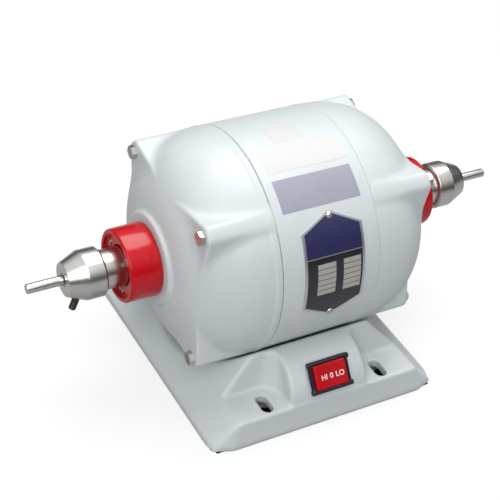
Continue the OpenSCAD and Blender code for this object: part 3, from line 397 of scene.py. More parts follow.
def round_corners(corners: list[tuple[float, float, float]], arc_points: int = 6) -> Array:
    """Rounds the corners of a closed outline.

    Each corner's arc touches both of its sides; its centre lies on the corner's bisector.

    Args:
        corners: each corner's two coordinates and the radius of its rounding.
        arc_points: points on each arc.

    Returns:
        The points of the rounded outline, one a row.
    """
    at = np.array([c[:2] for c in corners])
    radius = np.array([c[2] for c in corners])
    to_last = np.roll(at, 1, axis=0) - at
    to_next = np.roll(at, -1, axis=0) - at
    to_last /= np.linalg.norm(to_last, axis=1)[:, None]
    to_next /= np.linalg.norm(to_next, axis=1)[:, None]
    half = np.arccos(np.clip((to_last * to_next).sum(axis=1), -1, 1)) / 2
    cut = radius / np.tan(half)
    middle = to_last + to_next
    middle /= np.maximum(np.linalg.norm(middle, axis=1), 1e-9)[:, None]
    centre = at + middle * (radius / np.sin(half))[:, None]
    start = at + to_last * cut[:, None] - centre
    end = at + to_next * cut[:, None] - centre
    share = np.linspace(0, 1, arc_points)[None, :, None]
    chord = start[:, None] * (1 - share) + end[:, None] * share
    length = np.linalg.norm(chord, axis=2, keepdims=True)
    arcs = centre[:, None] + chord / np.maximum(length, 1e-9) * radius[:, None, None]
    sharp = radius < 1e-6
    return np.concatenate([at[k:k + 1] if sharp[k] else arcs[k] for k in range(len(at))])


def turn_profile(profile: Array, side: Side, columns: int = 128) -> tuple[Array, Array]:
    """Turns a closed profile about the spindle.

    A point at radius r and distance x goes to (x, r cos a, r sin a) for the angles a of a full turn.

    Args:
        profile: one row a point, radius and distance along the spindle.
        side: the end of the spindle that the piece is on.
        columns: points round the turn.

    Returns:
        Points and quads.
    """
    angle = np.linspace(0, 2 * np.pi, columns, endpoint=False)
    radius, along = profile[:, :1], profile[:, 1:]
    x = np.broadcast_to(along * side.value, (len(profile), columns))
    points = np.stack([x, radius * np.cos(angle), AXIS_H + radius * np.sin(angle)], axis=2)
    return points.reshape(-1, 3), grid_faces(len(profile), columns, True, True)


def smooth_max(a: Array, b: Array, k: float) -> Array:
    """Larger of two fields, rounded over a width of k: the larger plus h squared times k / 4."""
    h = np.clip(k - np.abs(a - b), 0, None) / k
    return np.maximum(a, b) + h * h * k / 4


def smooth_min(a: Array, b: Array, k: float) -> Array:
    """Smaller of two fields, rounded over a width of k."""
    return -smooth_max(-a, -b, k)


# The four cubes round an edge, in order round it
AROUND_EDGE = ((1, 1), (0, 1), (0, 0), (1, 0))


def cell_beside(edge: Array, axis: int, back_second: int, back_third: int) -> tuple[Array, ...]:
    """Finds one of the four cubes round each edge of a grid.

    Args:
        edge: the edges' lower ends, one row each.
        axis: the axis that the edges run along.
        back_second: 1 for the cube behind the edge along the next axis.
        back_third: 1 for the cube behind the edge along the axis after that.

    Returns:
        The cubes' three indices.
    """
    cell = edge.copy()
    cell[:, (axis + 1) % 3] -= back_second
    cell[:, (axis + 2) % 3] -= back_third
    return tuple(cell.T)


def skin(form: Field, low: tuple[float, float, float], high: tuple[float, float, float],
         step: float) -> tuple[Array, Array]:
    """Skins the surface where a field is zero, with its inside where the field is negative.

    Space is cut into cubes. Each cube that the surface crosses gets one point, the mean of the
    crossings on its twelve edges, and each crossed edge gets a quad between its four cubes. The
    points are then drawn onto the surface along the field's slope, in two steps.

    Args:
        form: the field, in millimetres.
        low: lowest corner of the space.
        high: highest corner of the space.
        step: the cubes' size.

    Returns:
        Points and quads, facing outwards.
    """
    axes = [np.arange(a - 2 * step, b + 3 * step, step) for a, b in zip(low, high)]
    value = form(*np.meshgrid(*axes, indexing="ij"))
    inside = value < 0
    cells = tuple(n - 1 for n in value.shape)
    total, count = np.zeros(cells + (3,)), np.zeros(cells)
    origin = np.array([a[0] for a in axes])
    crossings = []
    for axis in range(3):
        near = tuple(slice(0, -1) if k == axis else slice(None) for k in range(3))
        far = tuple(slice(1, None) if k == axis else slice(None) for k in range(3))
        crossed = inside[near] != inside[far]
        edge = np.argwhere(crossed)
        v0, v1 = value[near][crossed], value[far][crossed]
        place = edge.astype(float)
        place[:, axis] += v0 / (v0 - v1)
        crossings.append((axis, edge, inside[near][crossed]))
        for back in AROUND_EDGE:
            cell = cell_beside(edge, axis, *back)
            np.add.at(total, cell, place)
            np.add.at(count, cell, 1)
    used = count > 0
    number = np.full(cells, -1)
    number[used] = np.arange(used.sum())
    points = total[used] / count[used][:, None] * step + origin
    quads = []
    for axis, edge, outward in crossings:
        quad = np.stack([number[cell_beside(edge, axis, *back)] for back in AROUND_EDGE], axis=1)
        quads.append(np.where(outward[:, None], quad, quad[:, ::-1]))
    # The slope is taken over a short way, and no move is longer than part of a cube
    reach = 0.05 * step
    for _ in range(2):
        here = form(*points.T)
        slope = np.stack([form(*(points + reach * unit).T) - here for unit in np.eye(3)], axis=1) / reach
        move = here[:, None] * slope / np.maximum((slope ** 2).sum(axis=1), 0.05)[:, None]
        size = np.linalg.norm(move, axis=1)[:, None]
        points = points - move * np.minimum(1, 0.6 * step / np.maximum(size, 1e-9))
    return points, np.concatenate(quads)


def nearest_diagonal(y: Array, z: Array) -> tuple[Array, Array]:
    """Places about the spindle, turned onto the nearest of four diagonals: along it and to its side."""
    r, angle = np.hypot(y, z), np.arctan2(z, y) - np.pi / 4
    angle = angle - np.round(angle / (np.pi / 2)) * np.pi / 2
    return r * np.cos(angle), r * np.sin(angle)


# ---------------------------------------------------------------- base


@dataclass
class BaseCasting:
    """The hollow base: a low block with rolled ends, sloped flanks and four stepped pockets."""

    half_w: float = 83.7
    half_d: float = 95.6
    rim_h: float = 4.0
    corner_r: float = 16.0
    deck_z: float = 44.0
    deck_half_w: float = 44.0
    shelf_z: float = 19.0
    shelf_half_w: float = 67.0
    front_y: float = 92.0
    roll_r: float = 27.0
    wall: float = 6.0
    cradle_r: float = 76.5
    pocket_x: float = 27.5
    pocket_y: float = 62.0
    pocket_draft: tuple[float, float] = (1.375, 5.5)
    pocket_r: tuple[float, float] = (8.0, 16.0)
    slot_at: tuple[float, float] = (43.1, 82.0)
    slot_w: float = 8.0
    slot_len: float = 15.5
    rib_t: float = 4.0
    cover_top: float = 2.5
    inlet_at: tuple[float, float] = (12.0, 20.0)
    inlet_r: float = 6.3
    inlet_boss: tuple[float, float] = (10.5, 93.0)
    inlet_face: tuple[float, float] = (8.9, 92.7)
    switch_seat: tuple[float, float] = (16.2, 11.8)
    switch_hole: tuple[float, float] = (14.15, 9.7)
    leads_hole: tuple[float, float] = (-46.0, 6.1)
    motor_screws: tuple[float, float] = (22.0, 3.3)
    blend: float = 3.0
    step: float = 1.2

    def _foot(self, x: Array, y: Array, z: Array, inset: float) -> Array:
        """Foot: a rounded rectangle that shrinks evenly from the rim up to the shelf."""
        share = np.clip((z - self.rim_h) / (self.shelf_z - self.rim_h), 0, 1.3)
        # The inset is level, so it grows where the sides slope, to keep the wall's thickness
        lean = 1 + 0.35 * np.minimum(share, 1)
        a = self.half_w + (self.shelf_half_w - self.half_w) * share - inset * lean
        b = self.half_d + (self.front_y - self.half_d) * share - inset
        r = self.corner_r + (2.5 - self.corner_r) * np.minimum(share, 1)
        qx, qy = np.abs(x) - a + r, np.abs(y) - b + r
        outline = np.hypot(np.maximum(qx, 0), np.maximum(qy, 0)) + np.minimum(np.maximum(qx, qy), 0) - r
        # On the slope the level distance is longer than the way to the surface
        return np.maximum(outline * 0.75, z - self.shelf_z + inset)

    def _block(self, x: Array, y: Array, z: Array, inset: float, edge: float) -> Array:
        """Upper block: a quarter-round front and back, between two sloped flanks."""
        run, rise = self.shelf_half_w - self.deck_half_w, self.deck_z - self.shelf_z
        flank = (np.abs(x) - self.deck_half_w) * rise + (z - self.deck_z) * run
        flank = flank / math.hypot(run, rise) + inset
        y0, z0 = self.front_y - self.roll_r, self.deck_z - self.roll_r
        qy, qz = np.abs(y) - y0, z - z0
        roll = np.where((qy > 0) & (qz > 0), np.hypot(qy, qz) - self.roll_r,
                        np.where(qz <= 0, qy - self.roll_r, qz - self.roll_r)) + inset
        return smooth_max(flank, roll, edge)

    def _pocket(self, x: Array, y: Array, z: Array, grow: float) -> Array:
        """Outline of the corner pockets: two drafted walls with a round corner, open to the outside."""
        share = (self.deck_z - z) / (self.deck_z - self.shelf_z)
        qx = np.abs(x) - self.pocket_x - share * self.pocket_draft[0] + grow
        qy = np.abs(y) - self.pocket_y - share * self.pocket_draft[1] + grow
        radius = self.pocket_r[0] + (self.pocket_r[1] - self.pocket_r[0]) * np.clip(share, 0, 1)
        wx, wy = radius - qx, radius - qy
        return np.where((wx > 0) & (wy > 0), np.hypot(wx, wy) - radius, np.maximum(-qx, -qy))

    def outside(self, x: Array, y: Array, z: Array) -> Array:
        """Field of the casting's outer form: foot and notched block, blended, and the cord inlet's boss."""
        pocket = smooth_max(self._pocket(x, y, z, 0.0), self.shelf_z - z, self.blend)
        block = smooth_max(self._block(x, y, z, 0.0, 3.5), -pocket, self.blend)
        form = smooth_min(self._foot(x, y, z, 0.0), block, self.blend)
        boss_r, boss_y = self.inlet_boss
        ends = np.maximum(y - boss_y, self.front_y - self.roll_r - y)
        form = smooth_min(form, smooth_max(self._from_inlet(x, z) - boss_r, ends, 1.0), 2.5)
        around_spindle = np.hypot(y, z - AXIS_H)
        return smooth_max(form, self.cradle_r - around_spindle, 1.6)

    def hollow(self, x: Array, y: Array, z: Array) -> Array:
        """Field of the hollow underside: even walls, with shelves and ribs under the pockets."""
        room = np.minimum(self._foot(x, y, z, self.wall), self._block(x, y, z, self.wall, 2.0))
        room = np.where(z > self.shelf_z, np.maximum(room, self._block(x, y, z, self.wall, 2.0)), room)
        room = np.maximum(room, self.cradle_r + self.wall - np.hypot(y, z - AXIS_H))
        pocket = np.maximum(self._pocket(x, y, z, self.wall), self.shelf_z - self.wall - z)
        rib = np.abs(self._pocket(x, y, z, self.wall / 2)) - self.rib_t / 2
        rib = np.maximum(rib, self.cover_top - z)
        return np.maximum(np.maximum(room, -pocket), -rib)

    def _from_inlet(self, x: Array, z: Array) -> Array:
        """Distance from the cord inlet's axis."""
        return np.hypot(x - self.inlet_at[0], z - self.inlet_at[1])

    def openings(self, x: Array, y: Array, z: Array) -> Array:
        """Field of the bolt slots, the switch's opening, the cord's and leads' holes and the screw holes."""
        run = (self.slot_len - self.slot_w) / 2
        qy = np.maximum(np.abs(np.abs(y) - self.slot_at[1]) - run, 0)
        slot = np.maximum(np.hypot(np.abs(x) - self.slot_at[0], qy) - self.slot_w / 2, z - self.shelf_z - 8)
        switch = RockerSwitch()
        u, v, w = switch.local(x, y, z)
        (seat_u, seat_v), (hole_u, hole_v) = self.switch_seat, self.switch_hole
        seat = np.maximum(np.maximum(np.abs(u) - seat_u, np.abs(v) - seat_v), -switch.seat_drop - w)
        through = np.maximum(np.maximum(np.abs(u) - hole_u, np.abs(v) - hole_v), np.maximum(w - 5, -15 - w))
        face_r, face_y = self.inlet_face
        cord = np.maximum(self._from_inlet(x, z) - self.inlet_r, self.front_y - self.roll_r - y)
        cord = np.minimum(cord, np.maximum(self._from_inlet(x, z) - face_r, face_y - y))
        (leads_x, leads_r), (screw_x, screw_r) = self.leads_hole, self.motor_screws
        leads = np.hypot(x - leads_x, y) - leads_r
        screws = np.hypot(np.abs(x) - screw_x, y) - screw_r
        upright = np.maximum(np.minimum(leads, screws), z - self.deck_z + 4.0)
        return np.minimum.reduce([slot, np.minimum(seat, through), cord, upright])

    def form(self, x: Array, y: Array, z: Array) -> Array:
        """Field of the whole casting."""
        body = np.maximum(self.outside(x, y, z), -self.hollow(x, y, z))
        body = smooth_max(body, -self.openings(x, y, z), 0.9)
        return smooth_max(body, -z, 1.2)

    def build(self) -> None:
        """Makes the casting in place of the CAD node."""
        points, quads = skin(self.form, (-self.half_w, -self.half_d, 0.0),
                             (self.half_w, self.half_d, self.deck_z), self.step)
        piece = put_mesh("cast_base", points, quads, ENAMEL, "housing")
        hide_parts("base_casting")


# ---------------------------------------------------------------- motor


@dataclass
class ProfileTable:
    """Signed distance to a closed profile, on a table of radius and distance along the spindle.

    Each entry is the least distance to the profile's sides; it is negative where a ray along the
    radius crosses an odd number of sides.

    Attributes:
        profile: one row a point, radius and distance.
        low: the table's least radius and distance.
        high: its greatest radius and distance.
        pitch: spacing of its entries.
    """

    profile: Array
    low: tuple[float, float]
    high: tuple[float, float]
    pitch: float = 0.25

    def __post_init__(self) -> None:
        """Fills the table, one side of the profile at a time."""
        r = np.arange(self.low[0], self.high[0], self.pitch)[:, None]
        x = np.arange(self.low[1], self.high[1], self.pitch)[None, :]
        best, odd = np.full((r.size, x.size), 1e9), np.zeros((r.size, x.size), bool)
        for (r0, x0), (r1, x1) in zip(self.profile, np.roll(self.profile, -1, axis=0)):
            dr, dx = r1 - r0, x1 - x0
            t = np.clip(((r - r0) * dr + (x - x0) * dx) / max(dr * dr + dx * dx, 1e-12), 0, 1)
            best = np.minimum(best, np.hypot(r - r0 - t * dr, x - x0 - t * dx))
            between = (x0 > x) != (x1 > x)
            odd ^= between & (r < r0 + (x - x0) * dr / (dx if abs(dx) > 1e-12 else 1e-12))
        self.table = np.where(odd, -best, best)

    def at(self, r: Array, x: Array) -> Array:
        """Reads the table between its entries, in proportion on both sides."""
        i = np.clip((r - self.low[0]) / self.pitch, 0, self.table.shape[0] - 1.001)
        j = np.clip((x - self.low[1]) / self.pitch, 0, self.table.shape[1] - 1.001)
        i0, j0 = i.astype(int), j.astype(int)
        fi, fj = i - i0, j - j0
        return ((self.table[i0, j0] * (1 - fj) + self.table[i0, j0 + 1] * fj) * (1 - fi)
                + (self.table[i0 + 1, j0] * (1 - fj) + self.table[i0 + 1, j0 + 1] * fj) * fi)


@dataclass
class EndBell:
    """A cast end bell: a domed cover with four bolt bosses, a raised hub and a guide tube."""

    side: Side
    seam_x: float = 34.6
    seam_gap: float = 0.05
    shell_r: float = 75.0
    spigot_r: float = 70.9
    spigot_len: float = 2.0
    boss_x: float = 79.8
    bolt_r: float = 67.8
    bolt_hole_r: float = 2.6
    boss_nose_r: float = 7.8
    boss_foot: tuple[float, float] = (56.4, 17.2)
    hub_x: float = 91.0
    hub_r: float = 30.5
    hub_edge: float = 0.9
    fillet: float = 3.4
    tube_r: float = 16.4
    tube_bore: float = 13.05
    tube_x: float = 103.0
    dome_lead: float = 8.6
    dome_x: float = 90.0
    dome_power: float = 3.0
    band: float = 4.4
    band_step: float = 0.5
    step: float = 1.0

    def _dome(self) -> Array:
        """Dome from the seam to the hub's fillet, as radius and distance.

        It is a superellipse: the cube of the radius over the drum's and the cube of the way along
        over the dome's reach add up to one. Its steps get closer towards the hub, where it turns faster.
        """
        start_x = self.seam_x - self.dome_lead
        reach = self.dome_x - start_x
        power = self.dome_power
        last = (1 - ((self.hub_r + self.fillet) / self.shell_r) ** power) ** (1 / power)
        first = (self.seam_x - start_x) / reach
        share = first + (last - first) * np.sin(np.linspace(0.0, 1.0, 64) * np.pi / 2)
        return np.stack([self.shell_r * (1 - share ** power) ** (1 / power), start_x + reach * share], axis=1)

    def _outer_profile(self) -> Array:
        """Outside from the seam over dome, fillet and flat hub to the guide tube, as radius and distance."""
        dome = self._dome()
        foot, hub_foot = dome[-1, 1], self.hub_x - self.hub_edge
        bend = np.radians([65.0, 45.0, 25.0, 10.0])
        fillet = np.stack([self.hub_r + self.fillet * (1 - np.cos(bend)),
                           foot + (hub_foot - foot) * (1 - np.sin(bend))], axis=1)
        hub = np.array([[self.hub_r, hub_foot], [self.hub_r - self.hub_edge, self.hub_x],
                        [self.tube_r, self.hub_x], [self.tube_r, self.tube_x]])
        bevel = 0.25 if self.side is Side.RIGHT else 0.5
        start = np.array([[self.shell_r - bevel, self.seam_x + self.seam_gap],
                          [self.shell_r - 0.02, self.seam_x + bevel]])
        dome = dome[dome[:, 1] > self.seam_x + 0.6]
        if self.side is Side.LEFT:
            # A machined band beside the seam ends in a fine step
            band = self.seam_x + self.band
            dome[dome[:, 1] > band, 0] -= self.band_step
            start = np.concatenate([start, [[self.shell_r - 0.02, band - 0.05]]])
            dome = dome[dome[:, 1] > band]
        return np.concatenate([start, dome, fillet, hub])

    def _inner_profile(self) -> Array:
        """Inside from the guide tube back to the seam: bearing seat, web and cavity."""
        spigot_x = self.seam_x - self.spigot_len
        return np.array([[self.tube_bore, self.tube_x], [self.tube_bore, 86.6], [9.3, 86.6], [9.3, 85.0],
                         [20.0, 85.0], [20.0, 70.0], [25.0, 70.0], [26.0, 80.0], [56.0, 70.0], [62.0, 60.0],
                         [66.5, 46.0], [67.6, spigot_x], [self.spigot_r, spigot_x],
                         [self.spigot_r, self.seam_x + self.seam_gap]])

    def _table(self, profile: Array, ends: list[list[float]]) -> ProfileTable:
        """Closes a profile through some end points and makes its table, with a little room around."""
        return ProfileTable(np.concatenate([profile, ends]), (-2.0, self.seam_x - 6.0), (82.0, 108.0))

    def _boss(self, x: Array, y: Array, z: Array) -> Array:
        """Field of the four bosses: a round nose at the bolt, with flanks that spread to the dome."""
        u, v = nearest_diagonal(y, z)
        v = np.abs(v)
        foot = np.array(self.boss_foot) - np.array([self.bolt_r, 0.0])
        touch = math.atan2(foot[1], foot[0]) - math.acos(self.boss_nose_r / math.hypot(*foot))
        nx, ny = math.cos(touch), math.sin(touch)
        flank = (u - self.bolt_r) * nx + v * ny - self.boss_nose_r
        along = -(u - self.bolt_r) * ny + v * nx
        outline = np.where(along > 0, flank, np.hypot(u - self.bolt_r, v) - self.boss_nose_r)
        outline = smooth_max(outline, np.hypot(y, z) - self.shell_r + 0.15, 1.5)
        return smooth_max(smooth_max(outline, x - self.boss_x, 2.2), 46.0 - u, 1.0)

    def build(self) -> None:
        """Makes the bell in place of the CAD node."""
        seam = self.seam_x + self.seam_gap
        spigot_x = self.seam_x - self.spigot_len
        outer = self._table(self._outer_profile(), [[0.0, self.tube_x], [0.0, seam]])
        inner = self._table(self._inner_profile(), [[0.0, 30.0], [0.0, self.tube_x + 1.0],
                                                    [self.tube_bore, self.tube_x + 1.0]])

        def form(x: Array, y: Array, z: Array) -> Array:
            """Field of one bell: dome and bosses, blended, less the inside and the bolt holes."""
            r = np.hypot(y, z)
            bosses = smooth_max(self._boss(x, y, z), self.seam_x + 0.6 - x, 0.8)
            solid = np.maximum(smooth_min(outer.at(r, x), bosses, 3.5), spigot_x - x)
            solid = np.maximum(solid, np.where(x < seam, r - self.spigot_r, -1e3))
            solid = np.maximum(solid, -inner.at(r, x))
            u, v = nearest_diagonal(y, z)
            return np.maximum(solid, self.bolt_hole_r - np.hypot(u - self.bolt_r, v))

        reach = self.shell_r
        points, quads = skin(form, (spigot_x, -reach, -reach), (self.tube_x, reach, reach), self.step)
        points[:, 0] *= self.side.value
        points[:, 2] += AXIS_H
        if self.side is Side.LEFT:
            quads = quads[:, ::-1]
        piece = put_mesh(f"{self.side.word}_bell_casting", points, quads, ENAMEL, "housing")
        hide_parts(f"{self.side.word}_end_bell")


def level_edge(height: float) -> Callable[[Array], Array]:
    """Gives a level edge: the same height everywhere along it."""
    return lambda along: np.full_like(along, height)


@dataclass(frozen=True)
class Label:
    """A blank label on the drum.

    Attributes:
        name: the piece's name.
        finish: its material.
        slot: the record's material slot, not used.
        x: its two ends along the spindle.
        elevation_deg: its lower and upper edge, as angles above the spindle's height.
        thick: its thickness.
        turn_deg: its turn in its own plane.
    """

    name: str
    finish: Finish
    slot: str
    x: tuple[float, float]
    elevation_deg: tuple[float, float]
    thick: float
    turn_deg: float = 0.0


LABELS = (
    Label("blank_grey_label", GREY_LABEL, "plate_aluminium", (-28.4, 27.0), (45.8, 62.3), 0.10),
    Label("blank_white_label", WHITE_LABEL, "capacitor_case", (-28.5, 28.0), (66.0, 81.0), 0.12),
    Label("blank_small_sticker", WHITE_LABEL, "capacitor_case", (-13.0, 9.0), (83.0, 96.5), 0.10, 4.0),
)


@dataclass
class MotorShell:
    """The rolled steel drum between the bells, with its blank labels and name plate."""

    half_w: float = 34.6
    outer_r: float = 75.0
    inner_r: float = 71.0
    left_edge_r: float = 0.5
    right_edge_r: float = 0.15
    lift: float = 0.01
    plate_x: float = 1.6
    plate_w: float = 43.0
    plate_elev: float = 15.0
    plate_t: float = 0.8
    plate_border: float = 1.7
    plate_tip: float = 37.3
    plate_side: float = 25.75
    plate_split: float = 8.9
    split_gap: float = 0.35
    ink_t: float = 0.04
    cell_rows: int = 6
    cell_share: float = 0.88
    cells_top: float = 4.6
    cells_bottom: float = -17.4
    cell_columns: tuple[tuple[float, float], ...] = ((-11.0, 2.0), (7.5, 20.0))

    def _patch(self, name: str, finish: Finish, x: tuple[float, float],
               low: Callable[[Array], Array], high: Callable[[Array], Array], radius: float,
               thick: float, turn_deg: float = 0.0) -> None:
        """Lays a thin blank sheet on the drum.

        The sheet's grid runs along the spindle between two distances, and round the drum between
        two lines of arc length; arc length becomes an angle by division by the drum's radius.

        Args:
            name: the piece's name.
            finish: its material.
            x: its two ends along the spindle.
            low: lower edge, as arc length above the plate's middle for each x.
            high: upper edge, likewise.
            radius: radius of its underside.
            thick: its thickness.
            turn_deg: its turn in its own plane, about its middle.
        """
        rows, columns = 48, 49
        along = np.linspace(x[0], x[1], columns)[None, :]
        share = np.linspace(0, 1, rows)[:, None]
        arc = low(along) * (1 - share) + high(along) * share
        along = np.broadcast_to(along, arc.shape)
        turn = math.radians(turn_deg)
        mx, ma = along.mean(), arc.mean()
        dx, da = along - mx, arc - ma
        along = mx + dx * math.cos(turn) - da * math.sin(turn)
        arc = ma + dx * math.sin(turn) + da * math.cos(turn)
        angle = np.radians(self.plate_elev) + arc / self.outer_r
        layers = [np.stack([along, -r * np.cos(angle), AXIS_H + r * np.sin(angle)], axis=2).reshape(-1, 3)
                  for r in (radius, radius + thick)]
        top = grid_faces(rows, columns, False, False) + rows * columns
        index = np.arange(rows * columns).reshape(rows, columns)
        border = np.concatenate([index[0], index[1:, -1], index[-1, -2::-1], index[-2:0:-1, 0]])
        after = np.roll(border, -1)
        wall = np.stack([border, after, after + rows * columns, border + rows * columns], axis=1)
        faces = np.concatenate([grid_faces(rows, columns, False, False)[:, ::-1], top, wall])
        put_mesh(name, np.concatenate(layers), faces, finish, "housing", merge=True, crease_deg=40.0)

    def build(self) -> None:
        """Makes the drum, its blank labels and the fields of the name plate."""
        w, r0, r1 = self.half_w, self.inner_r, self.outer_r
        profile = round_corners([(r0, -w, 0.0), (r1, -w, self.left_edge_r), (r1, w, self.right_edge_r),
                                 (r0, w, 0.0)])
        points, quads = turn_profile(profile, Side.RIGHT, 256)
        drum = put_mesh("rolled_steel_drum", points, quads, ENAMEL, "housing", merge=True,
                        crease_deg=35.0)
        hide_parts("stator_shell")
        for label in LABELS:
            low, high = (math.radians(a - self.plate_elev) * r1 for a in label.elevation_deg)
            self._patch(label.name, label.finish, label.x, level_edge(low), level_edge(high),
                        r1 + self.lift, label.thick, label.turn_deg)
        self._name_plate_fields()

    def _name_plate_fields(self) -> None:
        """Lays the blank printed fields on the name plate, inside its silver border."""
        half = self.plate_w / 2 - self.plate_border
        # The border is measured square to the edge, so it is longer at the tip and shorter at the sides
        tip, side = self.plate_tip - self.plate_border * 1.15, self.plate_side - self.plate_border * 0.45
        base = self.outer_r + self.plate_t

        def edge(x: Array) -> Array:
            """Height of the plate's pointed end: it falls evenly from the tip to the sides."""
            return tip + (side - tip) * np.abs(x - self.plate_x) / half

        x = (self.plate_x - half, self.plate_x + half)
        self._patch("plate_navy_field", NAVY_INK, x,
                    level_edge(self.plate_split + self.split_gap), edge, base + self.lift, self.ink_t)
        self._patch("plate_black_field", BLACK_INK, x, lambda at: -edge(at),
                    level_edge(self.plate_split - self.split_gap), base + self.lift, self.ink_t)
        pitch = (self.cells_top - self.cells_bottom) / self.cell_rows
        for column, ends in enumerate(self.cell_columns):
            for row in range(self.cell_rows):
                high = self.cells_top - pitch * row
                low = self.cells_top - pitch * (row + self.cell_share)
                self._patch(f"plate_blank_cell_{column}_{row}", SILVER_FIELD, ends,
                            level_edge(low), level_edge(high), base + self.lift + self.ink_t, 0.03)


# ---------------------------------------------------------------- switch


@dataclass
class RockerSwitch:
    """The rocker switch on the rolled front: black bezel, red paddle and its printed positions."""

    bezel: tuple[float, float] = (30.5, 21.6)
    paddle: tuple[float, float] = (23.0, 16.4)
    housing: tuple[float, float] = (28.1, 19.2)
    seat_drop: float = 1.2
    bezel_t: float = 2.6
    bar_r: float = 1.8
    pivot_z: float = -3.0
    paddle_top: float = 2.7
    depth: float = 17.0
    gap: float = 0.3
    dish_r: float = 90.0
    dish_depth: float = 1.1
    axle_r: float = 1.25
    at_x: float = 1.2
    lean_deg: float = 37.0
    roll_centre: tuple[float, float] = (-65.0, 17.0)
    roll_r: float = 27.0
    words: tuple[tuple[str, float], ...] = (("HI", -5.2), ("0", 0.2), ("LO", 6.4))
    word_h: float = 3.5

    def _seat(self) -> tuple[float, float, float, float]:
        """Middle of the seat on the rolled front, as Y and Z, and the sine and cosine of its lean."""
        sine, cosine = math.sin(math.radians(self.lean_deg)), math.cos(math.radians(self.lean_deg))
        centre_y, centre_z = self.roll_centre
        return centre_y - self.roll_r * cosine, centre_z + self.roll_r * sine, sine, cosine

    def local(self, x: Array, y: Array, z: Array) -> tuple[Array, Array, Array]:
        """Turns row-frame places into the switch's own: along the spindle, up the slope, out of the panel."""
        seat_y, seat_z, sine, cosine = self._seat()
        dy, dz = y - seat_y, z - seat_z
        return x - self.at_x, dy * sine + dz * cosine, -dy * cosine + dz * sine

    def placed(self, points: Array) -> Array:
        """Turns places in the switch's own frame back into the row's frame."""
        seat_y, seat_z, sine, cosine = self._seat()
        u, v, w = points.T
        y, z = seat_y + v * sine - w * cosine, seat_z + v * cosine + w * sine
        return np.stack([u + self.at_x, y, z], axis=1)

    def _sweep_r(self) -> float:
        """Radius of the paddle's round ends about its pivot."""
        mid = (self.paddle_top + self.bezel_t - self.seat_drop) / 2
        return math.hypot(self.paddle[0] / 2, mid - self.pivot_z)

    def _housing_form(self, u: Array, v: Array, w: Array) -> Array:
        """Field of the housing: a frame with a round bar above and below, over a box with a well."""
        top = self.bezel_t - self.seat_drop
        frame = np.maximum(
            np.maximum(np.abs(u) - self.bezel[0] / 2 + 1.1, np.abs(v) - self.bezel[1] / 2 + 0.8),
            np.maximum(w - top + 0.4, -self.seat_drop - w))
        bar_v = self.bezel[1] / 2 - self.bar_r
        bar = np.maximum(np.hypot(np.abs(v) - bar_v, w - (top - self.bar_r + 0.3)) - self.bar_r,
                         np.abs(u) - self.bezel[0] / 2)
        box = np.maximum(np.maximum(np.abs(u) - self.housing[0] / 2, np.abs(v) - self.housing[1] / 2),
                         np.maximum(w, -self.seat_drop - self.depth - w))
        well = np.maximum(np.maximum(np.hypot(u, w - self.pivot_z) - self._sweep_r() - self.gap,
                                     np.abs(v) - self.paddle[1] / 2 - self.gap), self.pivot_z - 5.4 - w)
        return smooth_max(np.minimum(smooth_min(frame, bar, 0.5), box), -well, 0.5)

    def _paddle_form(self, u: Array, v: Array, w: Array) -> Array:
        """Field of the paddle: a wheel segment with a shallow hollow across its face."""
        dish = self.dish_r - np.hypot(u, w - self.paddle_top - self.dish_r + self.dish_depth)
        ends = np.hypot(u, w - self.pivot_z) - self._sweep_r()
        # The underside is level in the middle and rises outwards at 15 degrees
        under = (self.pivot_z - 2.4 - w) * 0.96 + np.maximum(np.abs(u) - 4.0, 0) * 0.26
        body = smooth_max(smooth_max(ends, dish, 0.8), w - self.paddle_top, 0.4)
        body = smooth_max(smooth_max(body, np.abs(v) - self.paddle[1] / 2, 0.7), under, 0.6)
        return np.maximum(body, self.axle_r - np.hypot(u, w - self.pivot_z))

    def _print(self, text: str, at_u: float) -> None:
        """Prints a word on the paddle's hollow face.

        Args:
            text: the word.
            at_u: its middle, along the spindle.
        """
        curve = bpy.data.curves.new("printed_word", "FONT")
        curve.body = text
        curve.align_x = "CENTER"
        # A capital is 0.72 of the font's size
        curve.size = self.word_h / 0.72
        curve.offset = 0.012 * curve.size
        curve.resolution_u = 6
        carrier = put_in_scene("printed_word", curve)
        bpy.context.view_layer.update()
        flat = bpy.data.meshes.new_from_object(carrier.evaluated_get(bpy.context.evaluated_depsgraph_get()))
        bpy.data.objects.remove(carrier)
        places = np.array([vertex.co for vertex in flat.vertices], float)
        u = places[:, 0] + at_u
        # The hollow is part of a circle, so its height is the circle's bottom and a rise with u
        rise = self.dish_r - np.sqrt(self.dish_r ** 2 - u ** 2)
        w = self.paddle_top - self.dish_depth + rise + 0.05
        points = self.placed(np.stack([u, places[:, 1] - self.word_h / 2 - 0.5, w], axis=1))
        name = "print_" + text.lower()
        mesh = bpy.data.meshes.new(name)
        mesh.from_pydata((points * MM).tolist(), [], [list(face.vertices) for face in flat.polygons])
        piece = put_in_scene(name, mesh)
        mesh.materials.append(WHITE_INK.build())
        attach(piece, "rocker")
        LOG.info("%s: %d points, %d faces, on rocker", name, len(mesh.vertices), len(mesh.polygons))

    def build(self) -> None:
        """Makes housing, paddle and print in place of the CAD nodes."""
        half_u, half_v = self.bezel[0] / 2, self.bezel[1] / 2
        points, quads = skin(self._housing_form, (-half_u, -half_v, -self.seat_drop - self.depth),
                             (half_u, half_v, 2.0), 0.4)
        piece = put_mesh("switch_bezel_and_body", self.placed(points), quads, BLACK_PLASTIC, "housing")
        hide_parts("switch_housing")
        points, quads = skin(self._paddle_form, (-14.0, -self.paddle[1] / 2, self.pivot_z - 2.6),
                             (14.0, self.paddle[1] / 2, self.paddle_top), 0.35)
        paddle = put_mesh("rocker_paddle", self.placed(points), quads, RED_PLASTIC, "rocker")
        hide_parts("switch_rocker")
        for word, at_u in self.words:
            self._print(word, at_u)


